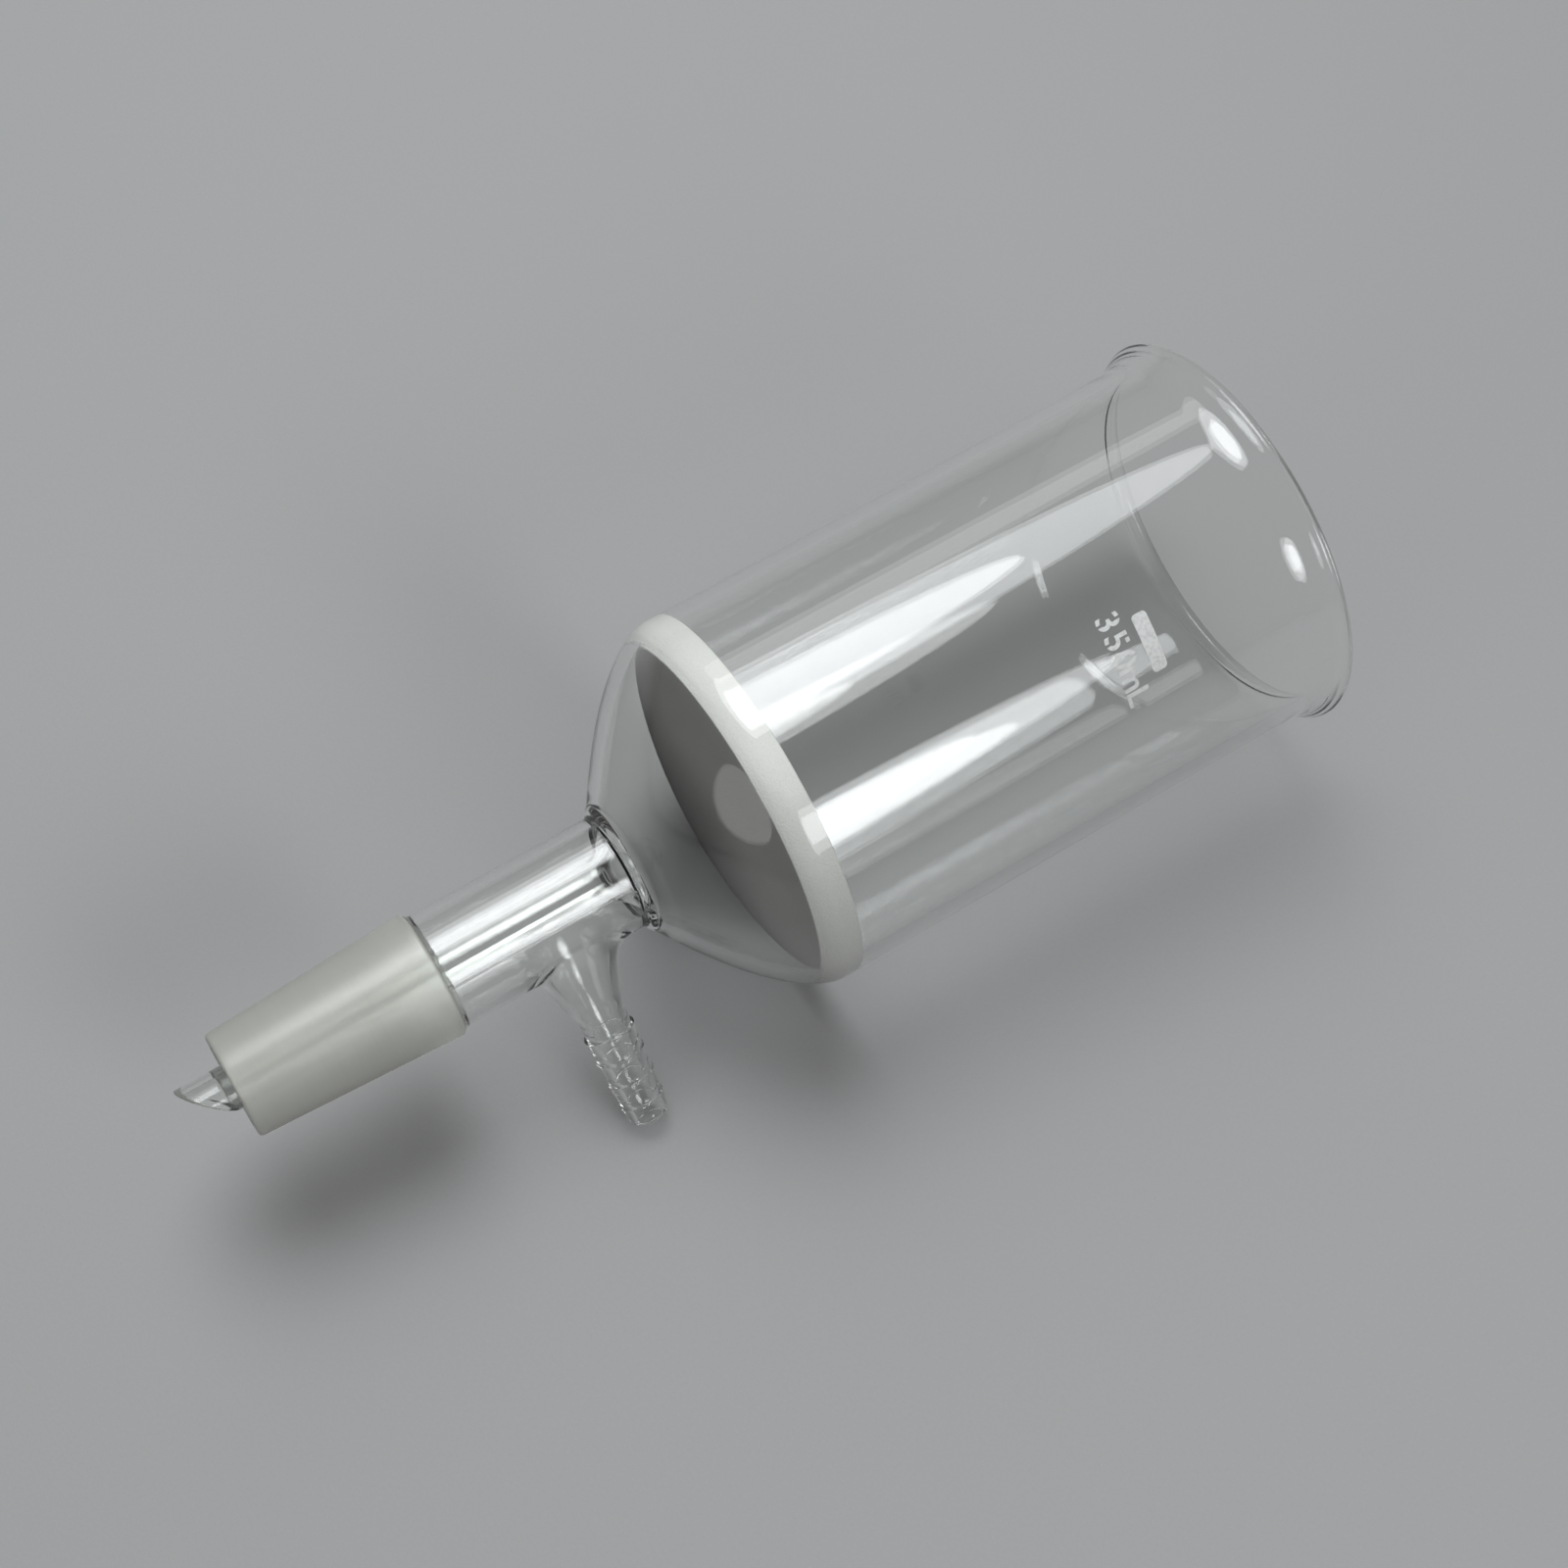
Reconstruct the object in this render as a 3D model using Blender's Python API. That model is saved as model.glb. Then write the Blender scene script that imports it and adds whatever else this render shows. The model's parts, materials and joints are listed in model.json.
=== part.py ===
"""Fritted vacuum filter funnel of 350 mL in borosilicate glass, lying at rest on its side.

The bowl's own axis is called the axis. A station is a distance along it, measured from the small
end of the ground joint towards the mouth. A reach is a distance out from it, along the side arm.
Everything is turned in the funnel's own frame, with the axis along +X, and then parented to one
empty that tips it until the rim and the bowl's shoulder both touch the ground at Z = 0.
"""

import math

import bmesh
import bpy
from mathutils import Matrix, Vector

# Driving dimensions, in metres.
MM = 0.001
MERGE = 0.001 * MM                          # points closer than this become one
GAP = 0.3 * MM
SEGMENTS = 48
FINE_SEGMENTS = 32

BOWL_RADIUS = 36.75 * MM
BOWL_WALL = 2.5 * MM
SHOULDER_STATION = 103.0 * MM
SHOULDER_POWER = 1.6
DOME_TOP_STATION = 98.9 * MM

RIM_RADIUS = 39.25 * MM
RIM_STATION = 208.8 * MM
MOUTH_STATION = 210.3 * MM
FLARE_LENGTH = 5.6 * MM
RIM_FLAT_INNER = 37.2 * MM
RIM_FLAT_OUTER = 38.4 * MM
LIP_ROUND = 0.5 * MM

FRIT_BOTTOM_STATION = 99.3 * MM
FRIT_TOP_STATION = 106.2 * MM
FRIT_EDGE = 0.5 * MM

NECK_STATION = 77.8 * MM
NECK_RADIUS = 12.4 * MM
BEAD_BULGE = 0.9 * MM
STEM_STATION = 74.6 * MM
THROAT_STATION = 80.4 * MM
THROAT_RADIUS = 8.5 * MM

JACKET_RADIUS = 11.0 * MM
JACKET_BORE = 9.2 * MM
JACKET_TOP_STATION = 75.4 * MM
JACKET_FLARE = 0.9 * MM
JACKET_FLARE_LENGTH = 3.0 * MM

JOINT_LENGTH = 40.0 * MM
JOINT_SMALL_RADIUS = 10.0 * MM
JOINT_LARGE_RADIUS = 12.0 * MM
JOINT_SMALL_BORE = 8.1 * MM
JOINT_CHAMFER = 0.45 * MM
JOINT_END_STATION = 40.15 * MM

DRIP_RADIUS = 4.2 * MM
DRIP_BORE = 3.0 * MM
DRIP_TIP_STATION = -9.2 * MM
DRIP_BEVEL = math.radians(44.0)

ARM_STATION = 63.2 * MM
ARM_SKIRT_REACH = 5.5 * MM
ARM_SKIRT_RADIUS = 9.3 * MM
ARM_RADIUS = 4.2 * MM
ARM_SPREAD = 5.1 * MM
ARM_SPREAD_REACH = 11.3 * MM
ARM_SPREAD_FADE = 4.0 * MM
ARM_BORE = 2.8 * MM
PORT_CLEARANCE = 0.6 * MM
SADDLE_HALF_LENGTH = 20.0 * MM
ARM_END_REACH = 24.1 * MM

BARB_END_REACH = 45.6 * MM
BARB_FIRST_CREST = 26.2 * MM
BARB_PITCH = 4.93 * MM
BARB_CRESTS = 4
BARB_CREST_RADIUS = 4.95 * MM
BARB_CREST_FALL = 0.2 * MM
BARB_CREST_RISE = (0.5 * MM, 0.2 * MM)      # how far before a crest its rise begins, and how far below
BARB_CREST_LEAD = (0.9 * MM, 0.15 * MM)     # the same after it
BARB_GROOVE_DEPTH = 0.95 * MM
BARB_BORE = 2.1 * MM
BARB_END_RADIUS = 3.4 * MM
BARB_END_ROUND = 0.5 * MM

MARK_THICKNESS = 0.15 * MM
MARK_START = math.radians(27.5)
MARK_DIGIT_HEIGHT = 4.3 * MM
MARK_DIGIT_STATION = 165.2 * MM
MARK_ADVANCE = math.radians(5.7)
MARK_BAR_STATIONS = (171.4 * MM, 174.4 * MM)
MARK_BAR_ANGLES = (math.radians(32.0), math.radians(49.5))
MARK_GLYPHS = (("capacity_digit_3", "3"), ("capacity_digit_5", "5"), ("capacity_digit_0", "0"),
               ("capacity_letter_m", "m"), ("capacity_letter_l", "L"))

# The rest position follows from those. The two largest rings of the bowl set the tip, and the
# side arm hangs down and forward until the end of its barb touches the ground.
TIP_ANGLE = math.atan2(RIM_RADIUS - BOWL_RADIUS, RIM_STATION - SHOULDER_STATION)
ARM_HEIGHT = BOWL_RADIUS - (SHOULDER_STATION - ARM_STATION) * math.tan(TIP_ANGLE)
ARM_ANGLE = (math.atan2(BARB_END_RADIUS, BARB_END_REACH)
             + math.acos(ARM_HEIGHT / math.hypot(BARB_END_REACH, BARB_END_RADIUS)))
ARM_DIRECTION = Vector((0.0, -math.sin(ARM_ANGLE), -math.cos(ARM_ANGLE)))


# Materials ---------------------------------------------------------------------------------------

def principled(name, color, roughness, transmission=0.0, alpha=1.0):
    """Return a Principled material with one colour."""
    material = bpy.data.materials.new(name)
    material.use_nodes = True
    shader = material.node_tree.nodes["Principled BSDF"]
    shader.inputs["Base Color"].default_value = (*color, 1.0)
    shader.inputs["Roughness"].default_value = roughness
    shader.inputs["Metallic"].default_value = 0.0
    shader.inputs["Transmission Weight"].default_value = transmission
    shader.inputs["IOR"].default_value = 1.474
    shader.inputs["Alpha"].default_value = alpha
    material.diffuse_color = (*color, alpha)
    return material


def clear_glass(name):
    return principled(name, (0.90, 0.94, 0.91), 0.03, transmission=1.0, alpha=0.35)


def frosted_glass(name):
    return principled(name, (0.68, 0.69, 0.66), 0.55)


def sintered_glass(name):
    return principled(name, (0.86, 0.87, 0.84), 0.85)


def white_enamel(name):
    return principled(name, (0.72, 0.73, 0.72), 0.45)


# Outlines ----------------------------------------------------------------------------------------

def arc(centre, radius, start, end, steps):
    """Points of an arc as (station, radius) pairs, with both ends included."""
    angles = [math.radians(start + (end - start) * i / steps) for i in range(steps + 1)]
    return [(centre[0] + radius * math.cos(a), centre[1] + radius * math.sin(a)) for a in angles]


def spaced(start, end, count):
    """Evenly spaced values from start to end."""
    return [start + (end - start) * i / (count - 1) for i in range(count)]


def body_radius(station):
    """Outer radius of the bowl and the dome below it."""
    rise = max(0.0, (SHOULDER_STATION - station) / (SHOULDER_STATION - NECK_STATION))
    return BOWL_RADIUS - (BOWL_RADIUS - NECK_RADIUS) * rise ** SHOULDER_POWER


def body_slope(station):
    """Rate at which the outer radius grows with the station."""
    step = 0.01 * MM
    return (body_radius(station + step) - body_radius(station - step)) / (2.0 * step)


def inner_point(station):
    """Point of the inner wall that faces an outer station, one wall thickness in."""
    slope = body_slope(station)
    length = math.hypot(1.0, slope)
    return (station + BOWL_WALL * slope / length, body_radius(station) - BOWL_WALL / length)


def inner_radius(station):
    """Inner radius of the wall at a station."""
    low, high = station - 2.0 * BOWL_WALL, station
    for _ in range(30):
        middle = 0.5 * (low + high)
        if inner_point(middle)[0] < station:
            low = middle
        else:
            high = middle
    return inner_point(high)[1]


# Solids ------------------------------------------------------------------------------------------

def add_object(name, bm, material, root):
    """Close the bmesh into a smooth-shaded object under the root empty."""
    bmesh.ops.recalc_face_normals(bm, faces=bm.faces)
    if bm.calc_volume(signed=True) < 0.0:
        bmesh.ops.reverse_faces(bm, faces=bm.faces)
    mesh = bpy.data.meshes.new(name)
    bm.to_mesh(mesh)
    bm.free()
    mesh.materials.append(material)
    mesh.shade_smooth()
    mesh.set_sharp_from_angle(angle=math.radians(35.0))
    thing = bpy.data.objects.new(name, mesh)
    bpy.context.scene.collection.objects.link(thing)
    thing.parent = root
    return thing


def turned(outline, segments=SEGMENTS, solid=False):
    """Turn an outline of (station, radius) points about the X axis.

    A hollow outline is a closed loop. A solid one starts and ends on the axis.
    """
    bm = bmesh.new()
    verts = [bm.verts.new((x, 0.0, r)) for x, r in outline]
    pairs = zip(verts, verts[1:] if solid else verts[1:] + verts[:1])
    edges = [bm.edges.new(pair) for pair in pairs]
    bmesh.ops.spin(bm, geom=verts + edges, cent=(0.0, 0.0, 0.0), axis=(1.0, 0.0, 0.0),
                   angle=math.tau, steps=segments, use_merge=True, use_duplicate=False)
    if solid:
        bmesh.ops.remove_doubles(bm, verts=bm.verts, dist=MERGE)
    return bm


def arm_matrix():
    """Matrix that lays the X axis of a turned piece along the side arm."""
    turn = Vector((1.0, 0.0, 0.0)).rotation_difference(ARM_DIRECTION).to_matrix().to_4x4()
    return Matrix.Translation((ARM_STATION, 0.0, 0.0)) @ turn


def cutter(name, outline, matrix, root):
    """Hidden solid for a Boolean."""
    thing = add_object(name, turned(outline, solid=True), clear_glass(name), root)
    thing.matrix_local = matrix
    thing.hide_render = True
    thing.display_type = "WIRE"
    return thing


def cut(thing, tool):
    """Take the tool's volume out of the thing."""
    modifier = thing.modifiers.new("cut_" + tool.name, "BOOLEAN")
    modifier.operation = "DIFFERENCE"
    modifier.solver = "EXACT"
    modifier.object = tool


# Sub-parts ---------------------------------------------------------------------------------------

def make_bowl(root):
    """Bowl tube: shoulder end, straight wall and flared, fire-polished rim."""
    bottom = DOME_TOP_STATION + 0.5 * GAP
    bore = BOWL_RADIUS - BOWL_WALL
    flare = [(RIM_STATION - FLARE_LENGTH * (1.0 - t), t ** 3) for t in (0.0, 0.4, 0.65, 0.85)]
    outer = [(s, body_radius(s)) for s in spaced(bottom, SHOULDER_STATION, 4)]
    outer += [(s, BOWL_RADIUS + (RIM_RADIUS - BOWL_RADIUS) * rise) for s, rise in flare]
    outer += [(RIM_STATION, RIM_RADIUS), (RIM_STATION + 2.0 * LIP_ROUND, RIM_RADIUS - 0.5 * LIP_ROUND),
              (MOUTH_STATION, RIM_FLAT_OUTER)]
    lip = RIM_FLAT_INNER - LIP_ROUND
    inner = [(MOUTH_STATION, RIM_FLAT_INNER), (MOUTH_STATION - LIP_ROUND, lip)]
    inner += [(s, bore + (lip - bore) * rise) for s, rise in reversed(flare)]
    inner += [(s, inner_radius(s)) for s in spaced(SHOULDER_STATION + BOWL_WALL, bottom, 4)]
    return add_object("bowl", turned(outer + inner), clear_glass("bowl_glass"), root)


def make_frit(root):
    """Porous disc sealed in the bottom of the bowl."""
    seat = GAP + 0.1 * MM
    low = inner_radius(FRIT_BOTTOM_STATION) - seat
    high = inner_radius(FRIT_TOP_STATION) - seat
    middle = 0.5 * (FRIT_BOTTOM_STATION + FRIT_TOP_STATION)
    outline = [(FRIT_BOTTOM_STATION, 0.0), (FRIT_BOTTOM_STATION, low - FRIT_EDGE),
               (FRIT_BOTTOM_STATION + FRIT_EDGE, low), (middle, inner_radius(middle) - seat),
               (FRIT_TOP_STATION - FRIT_EDGE, high), (FRIT_TOP_STATION, high - FRIT_EDGE),
               (FRIT_TOP_STATION, 0.0)]
    return add_object("frit_disc", turned(outline, solid=True), sintered_glass("frit"), root)


def make_dome(root):
    """Filtrate dome under the disc, closing down to its own short stem."""
    top = DOME_TOP_STATION - 0.5 * GAP
    stem = NECK_STATION - STEM_STATION
    outer = [(s, body_radius(s)) for s in spaced(top, NECK_STATION, 9)]
    under = arc((STEM_STATION, DRIP_RADIUS + stem), stem, 0.0, -90.0, 3)
    throat = THROAT_STATION - NECK_STATION
    bore = arc((NECK_STATION, DRIP_BORE + throat), throat, -90.0, -20.0, 3)
    inner = [inner_point(s) for s in spaced(NECK_STATION + 2.0 * MM, top - BOWL_WALL, 7)]
    inner.append((top, inner_radius(top)))
    outline = outer + under + [(STEM_STATION, DRIP_BORE)] + bore
    outline += [(THROAT_STATION, THROAT_RADIUS)] + inner
    return add_object("filtrate_dome", turned(outline), clear_glass("dome_glass"), root)


def make_ring_seal(root):
    """Thick weld bead that joins the dome and the vacuum jacket."""
    low = JACKET_TOP_STATION + GAP
    high = NECK_STATION - GAP
    middle = 0.5 * (low + high)
    crown = arc((middle, NECK_RADIUS - BEAD_BULGE), 0.5 * (high - low), 180.0, 0.0, 6)
    outline = crown + [(high, JACKET_BORE), (low, JACKET_BORE)]
    return add_object("ring_seal", turned(outline), clear_glass("seal_glass"), root)


def make_jacket(root):
    """Vacuum jacket: tube between the joint and the ring seal, with the side arm's port."""
    bottom = JOINT_END_STATION + GAP
    top = JACKET_TOP_STATION
    flare = [(top - JACKET_FLARE_LENGTH * (1.0 - t), JACKET_RADIUS + JACKET_FLARE * t * t) for t in (0.0, 0.5, 1.0)]
    outline = [(bottom, JACKET_BORE), (bottom, JACKET_RADIUS)] + flare + [(top, JACKET_BORE)]
    jacket = add_object("vacuum_jacket", turned(outline), clear_glass("jacket_glass"), root)
    start, end, radius = 0.5 * JACKET_RADIUS, 1.5 * JACKET_RADIUS, ARM_BORE + PORT_CLEARANCE
    port = [(start, 0.0), (start, radius), (end, radius), (end, 0.0)]
    cut(jacket, cutter("port_cutter", port, arm_matrix(), root))
    return jacket


def make_joint(root):
    """Ground cone of 24 mm by 40 mm with a taper of one in ten."""
    outline = [(0.0, JOINT_SMALL_BORE), (0.0, JOINT_SMALL_RADIUS - JOINT_CHAMFER),
               (JOINT_CHAMFER, JOINT_SMALL_RADIUS), (JOINT_LENGTH - JOINT_CHAMFER, JOINT_LARGE_RADIUS),
               (JOINT_LENGTH, JOINT_LARGE_RADIUS - JOINT_CHAMFER),
               (JOINT_END_STATION, JACKET_RADIUS), (JOINT_END_STATION, JACKET_BORE)]
    return add_object("ground_joint", turned(outline), frosted_glass("ground_glass"), root)


def make_drip_tube(root):
    """Inner tube that carries the filtrate past the vacuum port, ground off at an angle."""
    top = STEM_STATION - GAP
    outline = [(DRIP_TIP_STATION, DRIP_BORE), (DRIP_TIP_STATION, DRIP_RADIUS),
               (top, DRIP_RADIUS), (top, DRIP_BORE)]
    bm = turned(outline, FINE_SEGMENTS)
    point = -DRIP_RADIUS * ARM_DIRECTION + Vector((DRIP_TIP_STATION, 0.0, 0.0))
    across = ARM_DIRECTION * math.cos(DRIP_BEVEL)
    normal = Vector((-math.sin(DRIP_BEVEL), 0.0, 0.0)) + across
    bmesh.ops.bisect_plane(bm, geom=bm.verts[:] + bm.edges[:] + bm.faces[:], plane_co=point,
                           plane_no=normal, clear_outer=True, dist=MERGE)
    bmesh.ops.bridge_loops(bm, edges=[edge for edge in bm.edges if edge.is_boundary])
    return add_object("drip_tube", bm, clear_glass("drip_glass"), root)


def make_side_arm(root):
    """Trumpet-shaped root of the side arm, saddled on the jacket."""
    reaches = spaced(ARM_SPREAD_REACH, ARM_END_REACH, 8)
    trumpet = [(t, ARM_RADIUS + ARM_SPREAD * math.exp((ARM_SPREAD_REACH - t) / ARM_SPREAD_FADE))
               for t in reaches]
    outline = [(ARM_SKIRT_REACH, ARM_BORE), (ARM_SKIRT_REACH, ARM_SKIRT_RADIUS)] + trumpet
    outline.append((ARM_END_REACH, ARM_BORE))
    arm = add_object("side_arm", turned(outline), clear_glass("arm_glass"), root)
    arm.matrix_local = arm_matrix()
    seat = JACKET_RADIUS + GAP
    low, high = ARM_STATION - SADDLE_HALF_LENGTH, ARM_STATION + SADDLE_HALF_LENGTH
    span = [(low, 0.0), (low, seat), (high, seat), (high, 0.0)]
    cut(arm, cutter("saddle_cutter", span, Matrix.Identity(4), root))
    return arm


def make_barb(root):
    """Serrated hose barb at the end of the side arm."""
    start = ARM_END_REACH + GAP
    outline = [(start, BARB_BORE), (start, ARM_RADIUS)]
    for i in range(BARB_CRESTS):
        crest = BARB_FIRST_CREST + i * BARB_PITCH
        radius = BARB_CREST_RADIUS - i * BARB_CREST_FALL
        outline += [(crest - BARB_CREST_RISE[0], radius - BARB_CREST_RISE[1]), (crest, radius),
                    (crest + BARB_CREST_LEAD[0], radius - BARB_CREST_LEAD[1]),
                    (crest + 0.75 * BARB_PITCH, radius - BARB_GROOVE_DEPTH)]
    outline += [(BARB_END_REACH - BARB_END_ROUND, BARB_END_RADIUS),
                (BARB_END_REACH, BARB_END_RADIUS - BARB_CREST_LEAD[1]), (BARB_END_REACH, BARB_BORE)]
    barb = add_object("hose_barb", turned(outline, FINE_SEGMENTS), clear_glass("barb_glass"), root)
    barb.matrix_local = arm_matrix()
    return barb


def wrapped(bm, station):
    """Bend flat work round the bowl: X runs down the near side, Y towards the mouth, Z out."""
    for vert in bm.verts:
        across, along, height = vert.co
        angle = MARK_START + across / BOWL_RADIUS
        radius = BOWL_RADIUS + GAP + height
        vert.co = (station + along, -radius * math.sin(angle), radius * math.cos(angle))


def make_bar(root):
    """Thick enamel line that marks the capacity."""
    width = MARK_BAR_STATIONS[1] - MARK_BAR_STATIONS[0]
    length = BOWL_RADIUS * (MARK_BAR_ANGLES[1] - MARK_BAR_ANGLES[0])
    start = BOWL_RADIUS * (MARK_BAR_ANGLES[0] - MARK_START)
    bm = bmesh.new()
    bmesh.ops.create_grid(bm, x_segments=12, y_segments=1, size=0.5)
    bmesh.ops.scale(bm, vec=(length, width, 1.0), verts=bm.verts)
    bmesh.ops.translate(bm, vec=(start + 0.5 * length, 0.5 * width, 0.0), verts=bm.verts)
    face = bmesh.ops.extrude_face_region(bm, geom=bm.faces[:])
    lifted = [item for item in face["geom"] if isinstance(item, bmesh.types.BMVert)]
    bmesh.ops.translate(bm, vec=(0.0, 0.0, MARK_THICKNESS), verts=lifted)
    wrapped(bm, MARK_BAR_STATIONS[0])
    return add_object("capacity_bar", bm, white_enamel("enamel_bar"), root)


def make_glyph(name, character, index, root):
    """One enamel figure or letter of the capacity."""
    curve = bpy.data.curves.new(name, "FONT")
    curve.body = character
    curve.size = MARK_DIGIT_HEIGHT / 0.73
    curve.resolution_u = 2
    curve.align_x = "CENTER"
    letter = bpy.data.objects.new(name + "_outline", curve)
    bpy.context.scene.collection.objects.link(letter)
    bpy.context.view_layer.update()
    bm = bmesh.new()
    flat = bpy.data.meshes.new_from_object(letter.evaluated_get(bpy.context.evaluated_depsgraph_get()))
    bm.from_mesh(flat)
    bpy.data.objects.remove(letter)
    bpy.data.meshes.remove(flat)
    bmesh.ops.remove_doubles(bm, verts=bm.verts, dist=2.0 * MERGE)
    bmesh.ops.translate(bm, vec=(BOWL_RADIUS * MARK_ADVANCE * (index + 0.3), 0.0, 0.0), verts=bm.verts)
    face = bmesh.ops.extrude_face_region(bm, geom=bm.faces[:])
    lifted = [item for item in face["geom"] if isinstance(item, bmesh.types.BMVert)]
    bmesh.ops.translate(bm, vec=(0.0, 0.0, MARK_THICKNESS), verts=lifted)
    wrapped(bm, MARK_DIGIT_STATION)
    return add_object(name, bm, white_enamel(name + "_enamel"), root)


# Assembly ----------------------------------------------------------------------------------------

def clear_scene():
    """Start from an empty scene."""
    for thing in list(bpy.data.objects):
        bpy.data.objects.remove(thing, do_unlink=True)


def settle(root, parts):
    """Tip the funnel onto its rim and shoulder, and centre its box over the origin."""
    root.rotation_euler = (0.0, -TIP_ANGLE, 0.0)
    bpy.context.view_layer.update()
    corners = [part.matrix_world @ vert.co for part in parts for vert in part.data.vertices]
    low = [min(corner[i] for corner in corners) for i in range(3)]
    high = [max(corner[i] for corner in corners) for i in range(3)]
    root.location = (-0.5 * (low[0] + high[0]), -0.5 * (low[1] + high[1]), -low[2])
    bpy.context.view_layer.update()


def main():
    clear_scene()
    root = bpy.data.objects.new("funnel", None)
    bpy.context.scene.collection.objects.link(root)
    parts = [make_bowl(root), make_frit(root), make_dome(root), make_ring_seal(root),
             make_jacket(root), make_joint(root), make_drip_tube(root), make_side_arm(root),
             make_barb(root), make_bar(root)]
    for index, (name, character) in enumerate(MARK_GLYPHS):
        parts.append(make_glyph(name, character, index, root))
    settle(root, parts)


main()
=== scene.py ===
"""Looks of a 350 mL fritted vacuum filter funnel in borosilicate glass, lying on its side on a bench.

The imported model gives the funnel's place, and every piece here is blown, turned or printed round it.
A station is a distance along the funnel's axis, measured from the small end of the ground joint
towards the mouth. A reach is a distance out from that axis along the side arm. The funnel's own frame
has the axis along +X and the side arm in the X-Z plane, pointing down -Z.

Neighbouring pieces of glass meet on seams, faces that let everything through, so that light sees one
fused wall.
"""

from __future__ import annotations

import json
import logging
import math
from dataclasses import dataclass
from enum import Enum
from typing import Sequence

import bmesh
import bpy
import numpy as np
from mathutils import Matrix, Vector

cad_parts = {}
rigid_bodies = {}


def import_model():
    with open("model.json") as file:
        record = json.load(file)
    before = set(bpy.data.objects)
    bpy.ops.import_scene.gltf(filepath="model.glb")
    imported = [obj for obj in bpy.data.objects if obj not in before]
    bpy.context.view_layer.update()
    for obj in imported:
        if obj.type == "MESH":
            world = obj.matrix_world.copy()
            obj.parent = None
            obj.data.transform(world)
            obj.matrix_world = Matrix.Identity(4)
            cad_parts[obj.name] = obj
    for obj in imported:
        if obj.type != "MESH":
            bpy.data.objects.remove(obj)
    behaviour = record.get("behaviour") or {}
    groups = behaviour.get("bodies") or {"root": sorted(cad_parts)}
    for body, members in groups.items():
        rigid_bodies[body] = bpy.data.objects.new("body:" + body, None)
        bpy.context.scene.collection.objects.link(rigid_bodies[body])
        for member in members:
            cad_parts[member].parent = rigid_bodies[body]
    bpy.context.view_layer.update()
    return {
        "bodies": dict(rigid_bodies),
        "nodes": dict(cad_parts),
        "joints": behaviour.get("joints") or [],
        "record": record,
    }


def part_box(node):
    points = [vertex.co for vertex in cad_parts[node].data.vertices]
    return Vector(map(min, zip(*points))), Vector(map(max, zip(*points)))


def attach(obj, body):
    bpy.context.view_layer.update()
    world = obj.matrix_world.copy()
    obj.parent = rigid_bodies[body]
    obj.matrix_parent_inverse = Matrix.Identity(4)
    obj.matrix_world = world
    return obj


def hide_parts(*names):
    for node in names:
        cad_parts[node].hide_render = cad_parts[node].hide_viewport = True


LOG = logging.getLogger("funnel")

MM = 0.001
SPUN_MERGE = 0.0005 * MM
SKIN_MERGE = 0.005 * MM
PRINT_MERGE = 0.02 * MM
CUT_TOLERANCE = 0.002 * MM
Point = tuple[float, float]
Colour = tuple[float, float, float]


# Shader maths ------------------------------------------------------------------------------------

class Socket:
    """An output of a node tree, on which arithmetic adds Math nodes."""

    def __init__(self, wiring: Wiring, output: bpy.types.NodeSocket) -> None:
        """Wrap one output socket of a tree."""
        self.wiring = wiring
        self.output = output

    def _maths(self, operation: str, *values: Socket | float) -> Socket:
        """Add one Math node.

        Args:
            operation: The Math node's operation.
            values: Its inputs, as sockets or numbers.

        Returns:
            The node's output.
        """
        return self.wiring.node("ShaderNodeMath", {"operation": operation}, dict(enumerate(values)))

    def __add__(self, other: Socket | float) -> Socket:
        """Add a socket or a number."""
        return self._maths("ADD", self, other)

    def __radd__(self, other: float) -> Socket:
        """Add to a number."""
        return self._maths("ADD", other, self)

    def __sub__(self, other: Socket | float) -> Socket:
        """Subtract a socket or a number."""
        return self._maths("SUBTRACT", self, other)

    def __rsub__(self, other: float) -> Socket:
        """Subtract from a number."""
        return self._maths("SUBTRACT", other, self)

    def __mul__(self, other: Socket | float) -> Socket:
        """Multiply by a socket or a number."""
        return self._maths("MULTIPLY", self, other)

    def __rmul__(self, other: float) -> Socket:
        """Multiply a number."""
        return self._maths("MULTIPLY", other, self)

    def __pow__(self, other: Socket | float) -> Socket:
        """Raise to a power."""
        return self._maths("POWER", self, other)

    def clamped(self) -> Socket:
        """Keep the value between 0 and 1."""
        return self._maths("MINIMUM", self._maths("MAXIMUM", self, 0.0), 1.0)

    def above(self, edge: float, softness: float) -> Socket:
        """Rise from 0 to 1 across an edge.

        Args:
            edge: Value at which the rise starts.
            softness: Width of the rise.

        Returns:
            A mask.
        """
        return ((self - edge) * (1.0 / softness)).clamped()


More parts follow.
